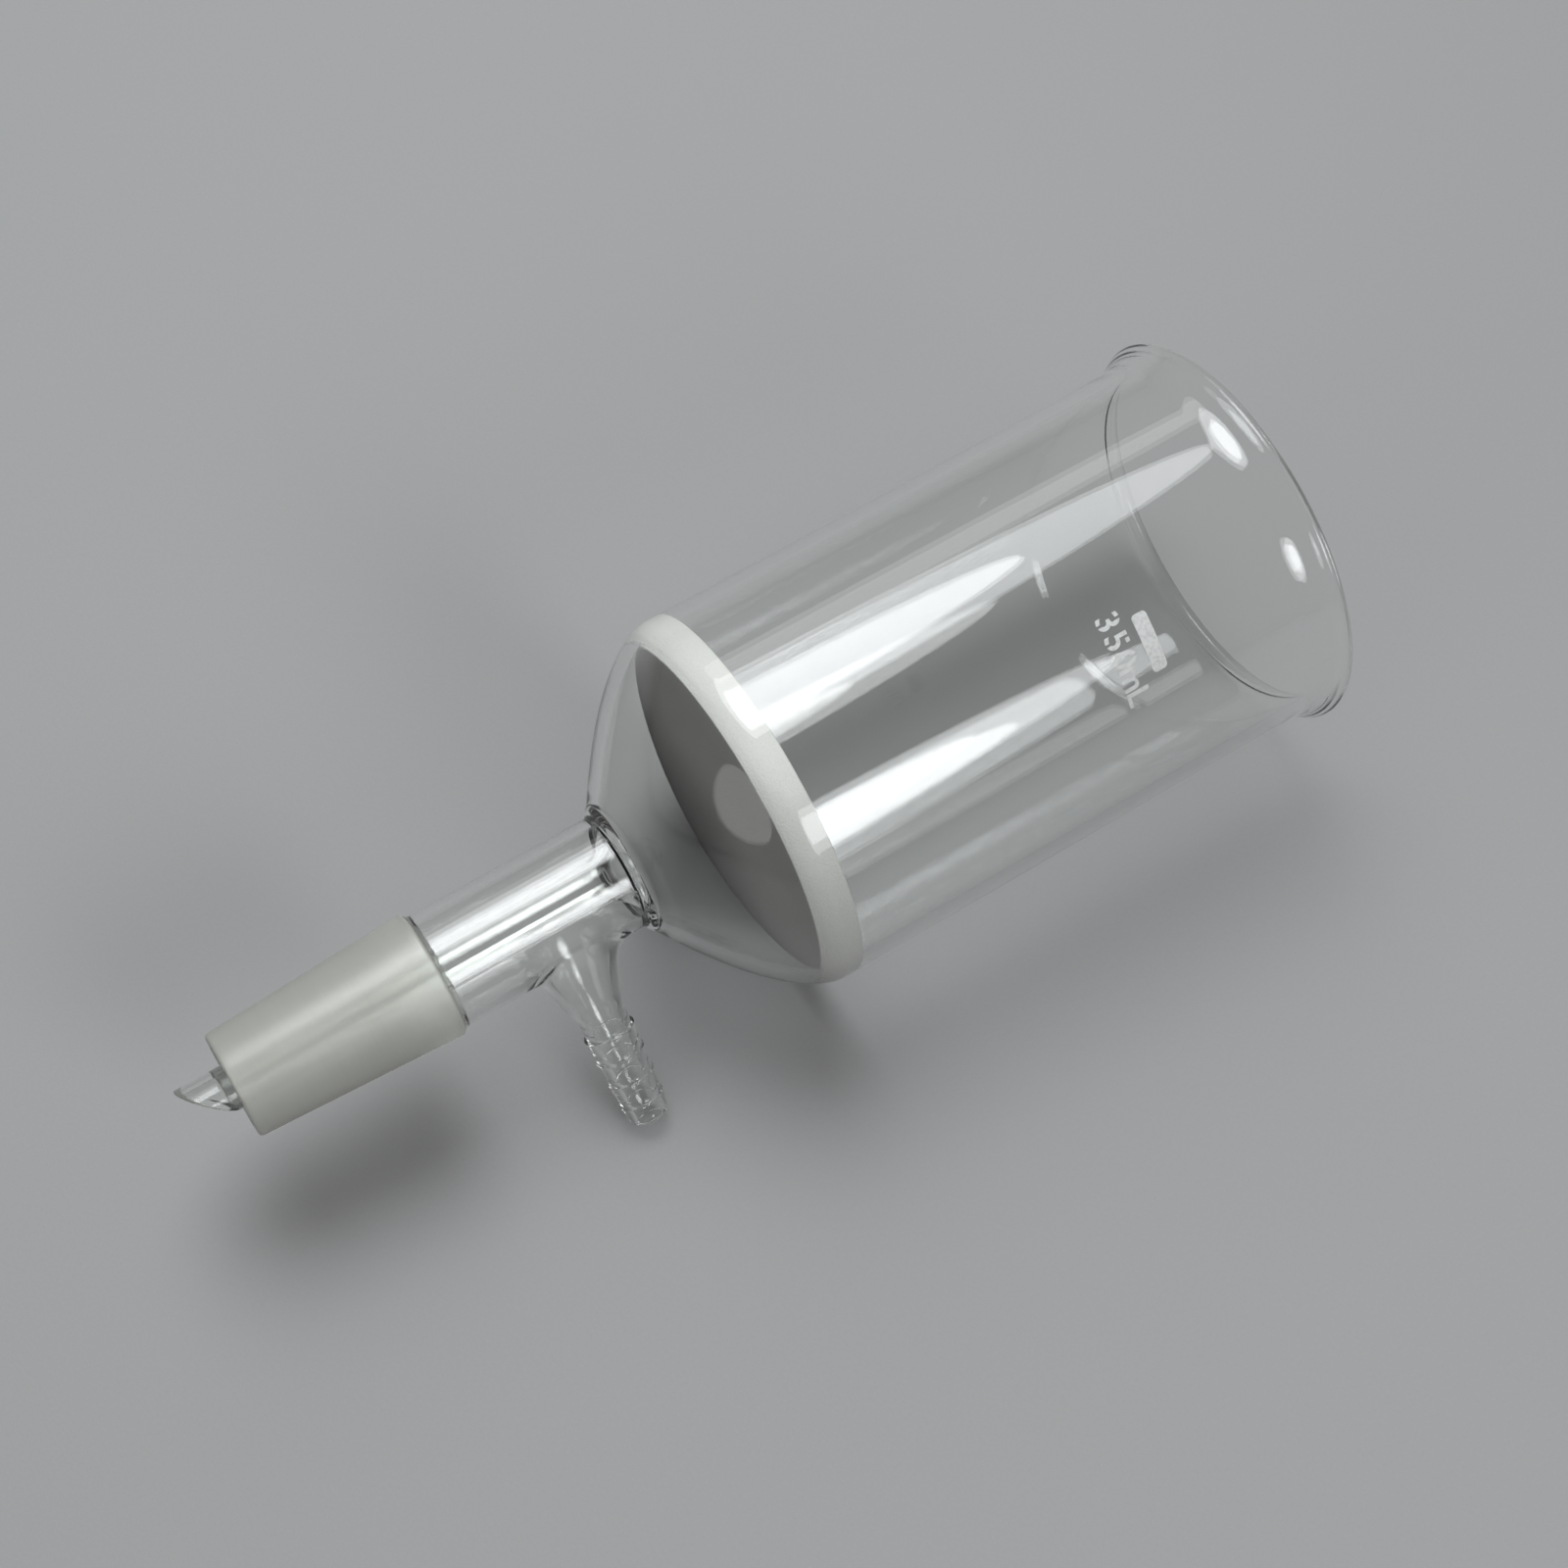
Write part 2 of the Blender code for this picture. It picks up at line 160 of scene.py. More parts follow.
class Wiring:
    """The node tree of one material."""

    def __init__(self, name: str) -> None:
        """Start a material with an empty tree and its output.

        Args:
            name: The material's name.
        """
        self.material = bpy.data.materials.new(name)
        self.material.use_nodes = True
        self.tree = self.material.node_tree
        self.tree.nodes.clear()
        self.result = self.tree.nodes.new("ShaderNodeOutputMaterial")

    def node(self, kind: str, settings: dict | None = None, inputs: dict | None = None,
             output: int | str = 0) -> Socket:
        """Add any node.

        Args:
            kind: The node's type.
            settings: Its properties.
            inputs: Values or sockets for its inputs, by name or by number.
            output: Which output to return.

        Returns:
            One output of the node.
        """
        made = self.tree.nodes.new(kind)
        for key, value in (settings or {}).items():
            setattr(made, key, value)
        for key, value in (inputs or {}).items():
            if isinstance(value, Socket):
                self.tree.links.new(value.output, made.inputs[key])
            else:
                made.inputs[key].default_value = value
        return Socket(self, made.outputs[output])

    def place(self, frame: FunnelFrame, scale: Sequence[float] = (1.0, 1.0, 1.0)) -> Socket:
        """Coordinates in the funnel's own frame.

        Args:
            frame: Where the funnel lies.
            scale: Stretch of the pattern along each axis.

        Returns:
            A vector socket, in metres times the scale.
        """
        where = self.node("ShaderNodeTexCoord", output="Object")
        turned = self.node("ShaderNodeMapping", {"vector_type": "TEXTURE"},
                           {0: where, "Location": frame.origin, "Rotation": frame.rotation})
        return self.node("ShaderNodeVectorMath", {"operation": "MULTIPLY"}, {0: turned, 1: scale})

    def noise(self, where: Socket, scale: float, detail: float = 2.0, roughness: float = 0.5) -> Socket:
        """Smooth noise from 0 to 1.

        Args:
            where: Coordinates.
            scale: Waves to the metre.
            detail: Octaves.
            roughness: How much each octave adds.

        Returns:
            A value.
        """
        return self.node("ShaderNodeTexNoise", None,
                         {"Vector": where, "Scale": scale, "Detail": detail, "Roughness": roughness})

    def between(self, share: Socket, first: Colour, second: Colour) -> Socket:
        """Blend two colours.

        Args:
            share: Share of the second colour, from 0 to 1.
            first: The colour at 0.
            second: The colour at 1.

        Returns:
            A colour.
        """
        return self.node("ShaderNodeMix", {"data_type": "RGBA"},
                         {0: share, 6: (*first, 1.0), 7: (*second, 1.0)}, 2)

    def bump(self, height: Socket, depth: float, under: Socket | None = None) -> Socket:
        """Bend the normal by a height.

        Args:
            height: Height from 0 to 1.
            depth: What a height of 1 stands for, in metres.
            under: A normal to bend further.

        Returns:
            A normal.
        """
        inputs = {"Height": height, "Strength": 1.0, "Distance": depth}
        if under is not None:
            inputs["Normal"] = under
        return self.node("ShaderNodeBump", None, inputs)

    def finish(self, shader: Socket) -> bpy.types.Material:
        """Connect the output and return the material."""
        self.tree.links.new(shader.output, self.result.inputs["Surface"])
        return self.material


# Finishes ----------------------------------------------------------------------------------------

@dataclass(frozen=True)
class ClearGlass:
    """Fire-polished borosilicate glass, with the faint draw lines of a tube."""

    name: str = "clear_borosilicate"
    tint: Colour = (0.985, 0.995, 0.985)
    ior: float = 1.474
    draw_line_scale: float = 420.0
    draw_line_depth: float = 0.0015 * MM
    draw_line_stretch: float = 0.02
    sway_scale: float = 38.0
    sway_depth: float = 0.02 * MM
    sway_stretch: float = 0.45
    smudge_scale: float = 55.0
    smudge_edge: float = 0.55
    smudge_softness: float = 0.25
    smudge_roughness: float = 0.012
    rim_blend: float = 0.35
    rim_shadow: float = 1.6

    def build(self, frame: FunnelFrame) -> bpy.types.Material:
        """Make the material.

        Args:
            frame: Where the funnel lies.

        Returns:
            The material.
        """
        w = Wiring(self.name)
        lines = w.noise(w.place(frame, (self.draw_line_stretch, 1.0, 1.0)), self.draw_line_scale, 3.0)
        sway = w.noise(w.place(frame, (self.sway_stretch, 1.0, 1.0)), self.sway_scale, 1.0)
        normal = w.bump(lines, self.draw_line_depth, w.bump(sway, self.sway_depth))
        smudges = w.noise(w.place(frame), self.smudge_scale, 5.0, 0.6)
        smudges = smudges.above(self.smudge_edge, self.smudge_softness)
        glass = w.node("ShaderNodeBsdfPrincipled", None, {
            "Base Color": (*self.tint, 1.0), "Roughness": smudges * self.smudge_roughness,
            "IOR": self.ior, "Transmission Weight": 1.0, "Normal": normal})
        return w.finish(self.lamp_lit(w, glass))

    def lamp_lit(self, w: Wiring, glass: Socket) -> Socket:
        """Let lamps shine through, less where the wall is seen edge on.

        Args:
            w: The material's wiring.
            glass: The shader that everything but a lamp sees.

        Returns:
            The mixed shader.
        """
        edge = w.node("ShaderNodeLayerWeight", None, {"Blend": self.rim_blend}, "Facing") ** self.rim_shadow
        lamp = w.node("ShaderNodeLightPath", output="Is Shadow Ray")
        clear = w.node("ShaderNodeBsdfTransparent")
        return w.node("ShaderNodeMixShader", None, {0: lamp * (1.0 - edge), 1: glass, 2: clear})


@dataclass(frozen=True)
class GroundGlass:
    """Outside of the cone, ground with fine rings and frosted all over."""

    name: str = "ground_glass"
    tint: Colour = (0.92, 0.93, 0.87)
    ior: float = 1.474
    frosted: Colour = (0.60, 0.61, 0.555)
    scratched: Colour = (0.565, 0.575, 0.52)
    frost: float = 0.5
    roughness: float = 0.30
    ring_scale: float = 1100.0
    ring_stretch: float = 0.02
    ring_roughness: float = 0.06
    wear_scale: float = 160.0
    wear_stretch: float = 0.4
    wear_roughness: float = 0.10
    grain_scale: float = 5200.0
    grain_depth: float = 0.006 * MM

    def build(self, frame: FunnelFrame) -> bpy.types.Material:
        """Make the material.

        Args:
            frame: Where the funnel lies.

        Returns:
            The material.
        """
        w = Wiring(self.name)
        rings = w.noise(w.place(frame, (1.0, self.ring_stretch, self.ring_stretch)), self.ring_scale, 3.0)
        grain = w.noise(w.place(frame), self.grain_scale, 2.0)
        wear = w.noise(w.place(frame, (1.0, self.wear_stretch, self.wear_stretch)), self.wear_scale, 4.0, 0.6)
        normal = w.bump(grain, self.grain_depth)
        rough = self.roughness + self.ring_roughness * (rings - 0.5) + self.wear_roughness * (wear - 0.5)
        glass = w.node("ShaderNodeBsdfPrincipled", None, {
            "Base Color": (*self.tint, 1.0), "Roughness": rough, "IOR": self.ior,
            "Transmission Weight": 1.0, "Normal": normal})
        shade = w.between(rings.above(0.25, 0.5), self.scratched, self.frosted)
        white = w.node("ShaderNodeBsdfPrincipled", None, {
            "Base Color": shade, "Roughness": rough, "Normal": normal})
        return w.finish(w.node("ShaderNodeMixShader", None, {0: self.frost, 1: glass, 2: white}))


@dataclass(frozen=True)
class SinteredGlass:
    """Porous disc of fused glass grains, with painted shade in the pores between them."""

    name: str = "sintered_glass"
    pale: Colour = (0.97, 0.975, 0.955)
    # Dark end of the colour: painted shade in the pores between grains, and the darker random clouds.
    pore_shade_and_cloud_tone: Colour = (0.80, 0.81, 0.74)
    grain_scale: float = 2600.0
    grain_depth: float = 0.07 * MM
    grain_share: float = 0.65
    fine_scale: float = 5720.0
    cloud_scale: float = 90.0
    cloud_share: float = 0.45
    roughness: float = 0.9
    sheen: float = 0.3

    def build(self, frame: FunnelFrame) -> bpy.types.Material:
        """Make the material.

        Args:
            frame: Where the funnel lies.

        Returns:
            The material.
        """
        w = Wiring(self.name)
        where = w.place(frame)
        cells = w.node("ShaderNodeTexVoronoi", {"feature": "F1"},
                       {"Vector": where, "Scale": self.grain_scale, "Randomness": 1.0})
        fine = w.noise(where, self.fine_scale, 3.0)
        height = self.grain_share * (1.0 - cells) + (1.0 - self.grain_share) * fine
        clouds = w.noise(where, self.cloud_scale, 4.0, 0.6)
        # The colour darkens where the grain height is low, as painted shade in the pores, and at random with
        # the clouds.
        depth = ((1.0 - self.cloud_share) * (1.0 - height) + self.cloud_share * clouds).clamped()
        return w.finish(w.node("ShaderNodeBsdfPrincipled", None, {
            "Base Color": w.between(depth, self.pale, self.pore_shade_and_cloud_tone), "Roughness": self.roughness,
            "Specular IOR Level": self.sheen, "Normal": w.bump(height, self.grain_depth)}))


@dataclass(frozen=True)
class WhiteEnamel:
    """Fired white print, thin enough to be mottled."""

    name: str = "white_enamel"
    colour: Colour = (0.60, 0.61, 0.60)
    worn: Colour = (0.46, 0.47, 0.46)
    mottle_scale: float = 1500.0
    mottle_depth: float = 0.02 * MM
    roughness: float = 0.35
    worn_roughness: float = 0.3

    def build(self, frame: FunnelFrame) -> bpy.types.Material:
        """Make the material.

        Args:
            frame: Where the funnel lies.

        Returns:
            The material.
        """
        w = Wiring(self.name)
        mottle = w.noise(w.place(frame), self.mottle_scale, 3.0)
        shade = w.between(mottle.above(0.45, 0.3), self.colour, self.worn)
        return w.finish(w.node("ShaderNodeBsdfPrincipled", None, {
            "Base Color": shade, "Roughness": self.roughness + self.worn_roughness * mottle,
            "Normal": w.bump(mottle, self.mottle_depth)}))


@dataclass(frozen=True)
class FusedSeam:
    """Face inside fused glass, which nothing shows."""

    name: str = "fused_seam"

    def build(self) -> bpy.types.Material:
        """Make the material."""
        w = Wiring(self.name)
        return w.finish(w.node("ShaderNodeBsdfTransparent"))


@dataclass(frozen=True)
class BenchPaper:
    """Plain pale surface under the funnel."""

    name: str = "bench_paper"
    colour: Colour = (0.33, 0.33, 0.33)
    tooth_scale: float = 1400.0
    tooth_depth: float = 0.05 * MM
    tooth_shade: float = 0.03
    roughness: float = 0.85
    sheen: float = 0.2

    def build(self) -> bpy.types.Material:
        """Make the material.

        Returns:
            The material.
        """
        w = Wiring(self.name)
        tooth = w.noise(w.node("ShaderNodeTexCoord", output="Object"), self.tooth_scale, 3.0)
        dark, light = (tuple(share * c for c in self.colour)
                       for share in (1.0 - self.tooth_shade, 1.0 + self.tooth_shade))
        return w.finish(w.node("ShaderNodeBsdfPrincipled", None, {
            "Base Color": w.between(tooth, dark, light), "Roughness": self.roughness,
            "Specular IOR Level": self.sheen, "Normal": w.bump(tooth, self.tooth_depth)}))


class Face(Enum):
    """What one face of a piece is, and so which material slot it takes."""

    CLEAR = 0
    SEAM = 1
    GROUND = 2


@dataclass
class Palette:
    """The finishes of one funnel, made once and shared."""

    clear: bpy.types.Material
    seam: bpy.types.Material
    ground: bpy.types.Material
    frit: bpy.types.Material
    enamel: bpy.types.Material

    @classmethod
    def make(cls, frame: FunnelFrame) -> Palette:
        """Build every finish.

        Args:
            frame: Where the funnel lies.

        Returns:
            The palette.
        """
        return cls(ClearGlass().build(frame), FusedSeam().build(), GroundGlass().build(frame),
                   SinteredGlass().build(frame), WhiteEnamel().build(frame))

    def glass(self) -> tuple[bpy.types.Material, ...]:
        """Slots of a glass piece, in the order of Face."""
        return self.clear, self.seam, self.ground


# Where the funnel lies ---------------------------------------------------------------------------

@dataclass
class FunnelFrame:
    """The funnel's own frame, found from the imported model."""

    origin: Vector
    axis: Vector
    arm: Vector

    FRIT_MIDDLE = 102.75 * MM

    @classmethod
    def found(cls, frame: dict) -> FunnelFrame:
        """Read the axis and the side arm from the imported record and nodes.


        Returns:
            The funnel's frame.
        """
        mounts = {mount["name"]: mount for mount in frame["record"]["mounts"]}
        axis = Vector(mounts["mouth_rim"]["axis"]).normalized()
        arm = Vector(mounts["barb_end"]["axis"]).normalized()
        low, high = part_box("frit_disc")
        return cls(0.5 * (low + high) - cls.FRIT_MIDDLE * axis, axis, arm)

    def _facing(self, up: Vector) -> Matrix:
        """Matrix from a frame with its X on the axis and its Z as near a direction as it can be.

        Args:
            up: The direction.

        Returns:
            A matrix to the row's frame.
        """
        side = up.cross(self.axis).normalized()
        turn = Matrix((self.axis, side, self.axis.cross(side))).transposed()
        return Matrix.Translation(self.origin) @ turn.to_4x4()

    @property
    def matrix(self) -> Matrix:
        """Matrix from the funnel's own frame to the row's frame."""
        return self._facing(-self.arm)

    @property
    def upright(self) -> Matrix:
        """Matrix to the row's frame from one that has its Z as near straight up as it can be."""
        return self._facing(Vector((0.0, 0.0, 1.0)))

    @property
    def rotation(self) -> tuple[float, float, float]:
        """The frame's turn as Euler angles."""
        return tuple(self.matrix.to_euler())

    def arm_matrix(self, station: float) -> Matrix:
        """Matrix that lays a piece turned about +X along the side arm.

        Args:
            station: Where the side arm leaves the axis.

        Returns:
            A matrix to the row's frame.
        """
        down = Matrix.Rotation(math.radians(90.0), 4, "Y")
        return self.matrix @ Matrix.Translation((station, 0.0, 0.0)) @ down


# Outlines ----------------------------------------------------------------------------------------

def arc(centre: Point, radius: float, start: float, end: float, steps: int = 8) -> list[Point]:
    """Points of an arc, with both ends.

    Args:
        centre: Its centre, as (station, radius).
        radius: Its radius.
        start: First angle in degrees, from the direction of growing station.
        end: Last angle in degrees.
        steps: Number of chords.

    Returns:
        The points.
    """
    angles = [math.radians(start + (end - start) * i / steps) for i in range(steps + 1)]
    return [(centre[0] + radius * math.cos(a), centre[1] + radius * math.sin(a)) for a in angles]


def flowing(points: Sequence[Point], spacing: float) -> list[Point]:
    """Smooth curve through points, as a natural cubic spline over chord length.

    Args:
        points: Points that it passes through.
        spacing: Distance between the points that come back.

    Returns:
        Points along the curve, with both ends.
    """
    knots = np.array(points)
    chord = np.hypot(*np.diff(knots, axis=0).T)
    along = np.concatenate([[0.0], np.cumsum(chord)])
    size = len(knots)
    system = np.eye(size)
    right = np.zeros((size, 2))
    for i in range(1, size - 1):
        system[i, i - 1:i + 2] = chord[i - 1], 2.0 * (chord[i - 1] + chord[i]), chord[i]
        right[i] = 6.0 * ((knots[i + 1] - knots[i]) / chord[i] - (knots[i] - knots[i - 1]) / chord[i - 1])
    bend = np.linalg.solve(system, right)
    count = max(2, round(along[-1] / spacing) + 1)
    curve = []
    for distance in np.linspace(0.0, along[-1], count):
        i = min(int(np.searchsorted(along, distance, side="right")) - 1, size - 2)
        h, a, b = chord[i], along[i + 1] - distance, distance - along[i]
        point = (bend[i] * a ** 3 + bend[i + 1] * b ** 3) / (6.0 * h)
        point = point + (knots[i] / h - bend[i] * h / 6.0) * a
        point = point + (knots[i + 1] / h - bend[i + 1] * h / 6.0) * b
        curve.append((float(point[0]), float(point[1])))
    return curve


def scaled(points: Sequence[Point]) -> list[Point]:
    """Millimetres to metres."""
    return [(x * MM, r * MM) for x, r in points]


# Solids ------------------------------------------------------------------------------------------

def turned(stretches: Sequence[tuple[Face, Sequence[Point]]], segments: int) -> bmesh.types.BMesh:
    """Turn a closed outline about +X.

    Args:
        stretches: The outline in order, as (what its faces are, points). Each starts where the last
            one ended.
        segments: Number of flats round the axis.

    Returns:
        A closed bmesh whose faces carry their material slot.
    """
    doublings = 4
    share = math.tau / 2 ** doublings
    whole = bmesh.new()
    for face, outline in stretches:
        verts = [whole.verts.new((x, 0.0, r)) for x, r in outline]
        first = [whole.edges.new(pair) for pair in zip(verts, verts[1:])]
        start = len(whole.faces)
        bmesh.ops.spin(whole, geom=verts + first, cent=(0.0, 0.0, 0.0), axis=(1.0, 0.0, 0.0), angle=share,
                       steps=segments // 2 ** doublings, use_merge=False, use_duplicate=False)
        whole.faces.ensure_lookup_table()
        for made in whole.faces[start:]:
            made.material_index = face.value
    for _ in range(doublings):
        copy = bmesh.ops.duplicate(whole, geom=whole.verts[:] + whole.edges[:] + whole.faces[:])["geom"]
        moved = [item for item in copy if isinstance(item, bmesh.types.BMVert)]
        bmesh.ops.rotate(whole, cent=(0.0, 0.0, 0.0), matrix=Matrix.Rotation(share, 3, "X"), verts=moved)
        share *= 2.0
    bmesh.ops.remove_doubles(whole, verts=whole.verts, dist=SPUN_MERGE)
    return whole


def open_loops(bm: bmesh.types.BMesh) -> list[list[bmesh.types.BMEdge]]:
    """Find the open borders.

    Args:
        bm: The bmesh.

    Returns:
        The edges of each border.
    """
    left = {edge for edge in bm.edges if edge.is_boundary}
    loops = []
    while left:
        loop = [left.pop()]
        for edge in loop:
            for vert in edge.verts:
                near = [e for e in vert.link_edges if e in left]
                left.difference_update(near)
                loop.extend(near)
        loops.append(loop)
    return loops


def loop_middle(loop: Sequence[bmesh.types.BMEdge]) -> Vector:
    """Mean of a loop's points."""
    return sum((vert.co for edge in loop for vert in edge.verts), Vector()) / (2 * len(loop))


def made_object(name: str, bm: bmesh.types.BMesh, place: Matrix,
                materials: Sequence[bpy.types.Material], sharp: float = 40.0) -> bpy.types.Object:
    """Turn a bmesh into an object that sits at the origin.

    Args:
        name: The piece's name.
        bm: Its closed shape, in its own frame. It is freed.
        place: Matrix from its frame to the row's frame.
        materials: Its material slots.
        sharp: Edges above this many degrees stay crisp.

    Returns:
        The object, linked to the scene.
    """
    bmesh.ops.transform(bm, matrix=place, verts=bm.verts)
    bmesh.ops.recalc_face_normals(bm, faces=bm.faces)
    if bm.calc_volume(signed=True) < 0.0:
        bmesh.ops.reverse_faces(bm, faces=bm.faces)
    for edge in bm.edges:
        slots = {face.material_index for face in edge.link_faces}
        border = len(slots) == 2 and Face.SEAM.value in slots
        edge.smooth = not border and edge.calc_face_angle(0.0) < math.radians(sharp)
    for face in bm.faces:
        face.smooth = True
    mesh = bpy.data.meshes.new(name)
    bm.to_mesh(mesh)
    bm.free()
    for material in materials:
        mesh.materials.append(material)
    thing = bpy.data.objects.new(name, mesh)
    bpy.context.scene.collection.objects.link(thing)
    return thing


def settled(piece: bpy.types.Object, slot: str, *nodes: str) -> bpy.types.Object:
    """Ride a finished piece on the funnel in place of its solids, and report it.

    Args:
        piece: The finished piece.
        slot: The record's material slot; not used.
        nodes: The solids it stands for.

    Returns:
        The piece.
    """
    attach(piece, "root")
    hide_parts(*nodes)
    triangles = sum(len(polygon.vertices) - 2 for polygon in piece.data.polygons)
    LOG.info("%s stands for %s, %d triangles", piece.name, ", ".join(nodes), triangles)
    return piece


# The bowl, the dome and the disc -----------------------------------------------------------------

@dataclass
class BowlBody:
    """Bowl tube, rounded dome and porous disc, which share one wall."""

    radius: float = 36.75 * MM
    wall: float = 2.5 * MM
    dome_wall: float = 2.3 * MM
    shoulder_station: float = 103.0 * MM
    shoulder_power: float = 1.6
    neck_station: float = 77.8 * MM
    neck_radius: float = 12.4 * MM
    bowl_seam: float = 103.2 * MM
    neck_seam: float = 81.0 * MM
    lip_centre: Point = (208.9 * MM, 37.85 * MM)
    lip_radius: float = 1.4 * MM
    frit_bottom: float = 99.3 * MM
    frit_top: float = 106.2 * MM
    frit_edge: float = 0.35 * MM
    frit_bite: float = 0.12 * MM
    segments: int = 192

    def outer_radius(self, station: float) -> float:
        """Outer radius of the wall at a station."""
        rise = max(0.0, (self.shoulder_station - station) / (self.shoulder_station - self.neck_station))
        return self.radius - (self.radius - self.neck_radius) * rise ** self.shoulder_power

    def thickness(self, station: float) -> float:
        """Wall thickness, which falls a little from the bowl down to the dome."""
        share = (station - self.neck_seam) / (self.bowl_seam - self.neck_seam)
        return self.dome_wall + (self.wall - self.dome_wall) * min(1.0, max(0.0, share))

    def inner_point(self, station: float) -> Point:
        """Point of the inner wall, square in from an outer station.

        Args:
            station: The station on the outer wall.

        Returns:
            The point.
        """
        step = 0.02 * MM
        slope = (self.outer_radius(station + step) - self.outer_radius(station - step)) / (2.0 * step)
        length = math.hypot(1.0, slope)
        wall = self.thickness(station)
        return (station + wall * slope / length, self.outer_radius(station) - wall / length)

    def dome_stations(self) -> list[float]:
        """Stations of the dome's outline, from its neck up to the bowl."""
        steps = 44
        return [self.neck_seam + (self.bowl_seam - self.neck_seam) * i / steps for i in range(steps + 1)]

    def build_bowl(self, frame: FunnelFrame, palette: Palette) -> bpy.types.Object:
        """Blow the straight bowl and fire-polish its flared rim.

        Args:
            frame: Where the funnel lies.
            palette: The finishes.

        Returns:
            The piece.
        """
        bore = self.radius - self.wall
        flare = flowing(scaled([(201.5, 36.75), (203.2, 36.80), (204.8, 37.10), (206.2, 37.72),
                                (207.4, 38.52), (208.1, 39.0)]), 0.25 * MM)
        lip = arc(self.lip_centre, self.lip_radius, 118.0, -68.0, 22)
        back = flowing([lip[-1]] + scaled([(208.3, 36.10), (206.9, 35.28), (205.2, 34.66), (203.4, 34.32),
                                           (201.5, 34.25)]), 0.25 * MM)
        flare[-1] = lip[0]
        wall = [(self.bowl_seam, self.radius), flare[0]]
        stretches = [(Face.CLEAR, wall), (Face.CLEAR, flare), (Face.CLEAR, lip), (Face.CLEAR, back),
                     (Face.CLEAR, [back[-1], (self.bowl_seam, bore)]),
                     (Face.SEAM, [(self.bowl_seam, bore), (self.bowl_seam, self.radius)])]
        bm = turned(stretches, self.segments)
        return made_object("bowl_glass", bm, frame.matrix, palette.glass())

    def build_dome(self, frame: FunnelFrame, palette: Palette) -> bpy.types.Object:
        """Blow the rounded dome below the disc.

        Args:
            frame: Where the funnel lies.
            palette: The finishes.

        Returns:
            The piece.
        """
        stations = self.dome_stations()
        outer = [(s, self.outer_radius(s)) for s in stations]
        inner = [self.inner_point(s) for s in stations]
        inner[-1] = (self.bowl_seam, self.radius - self.wall)
        stretches = [(Face.CLEAR, outer), (Face.SEAM, [outer[-1], inner[-1]]),
                     (Face.CLEAR, inner[::-1]), (Face.SEAM, [inner[0], outer[0]])]
        bm = turned(stretches, self.segments)
        return made_object("dome_glass", bm, frame.matrix, palette.glass())

    def inner_radius(self, station: float) -> float:
        """Radius of the inner wall.

        Args:
            station: Where along the axis.

        Returns:
            The radius.
        """
        points = [self.inner_point(s) for s in self.dome_stations()]
        points.append((self.lip_centre[0], self.radius - self.wall))
        return float(np.interp(station, [p[0] for p in points], [p[1] for p in points]))

    def build_frit(self, frame: FunnelFrame, palette: Palette) -> bpy.types.Object:
        """Sinter the disc, whose edge is fused a little way into the wall.

        Args:
            frame: Where the funnel lies.
            palette: The finishes.

        Returns:
            The piece.
        """
        low, high, edge = self.frit_bottom, self.frit_top, self.frit_edge
        side = [(low + (high - low) * i / 8, self.inner_radius(low + (high - low) * i / 8) + self.frit_bite)
                for i in range(9)]
        rings = [0.12, 0.3, 0.5, 0.7, 0.85]
        bottom = [(low, 0.0)] + [(low, ring * side[0][1]) for ring in rings]
        bottom += arc((low + edge, side[0][1] - edge), edge, 180.0, 90.0, 4)
        top = arc((high - edge, side[-1][1] - edge), edge, 90.0, 0.0, 4)
        top += [(high, ring * side[-1][1]) for ring in reversed(rings)] + [(high, 0.0)]
        bm = turned([(Face.CLEAR, bottom + side[1:-1] + top)], self.segments)
        return made_object("frit", bm, frame.matrix, (palette.frit,), 50.0)


# The neck, the jacket and the joint --------------------------------------------------------------

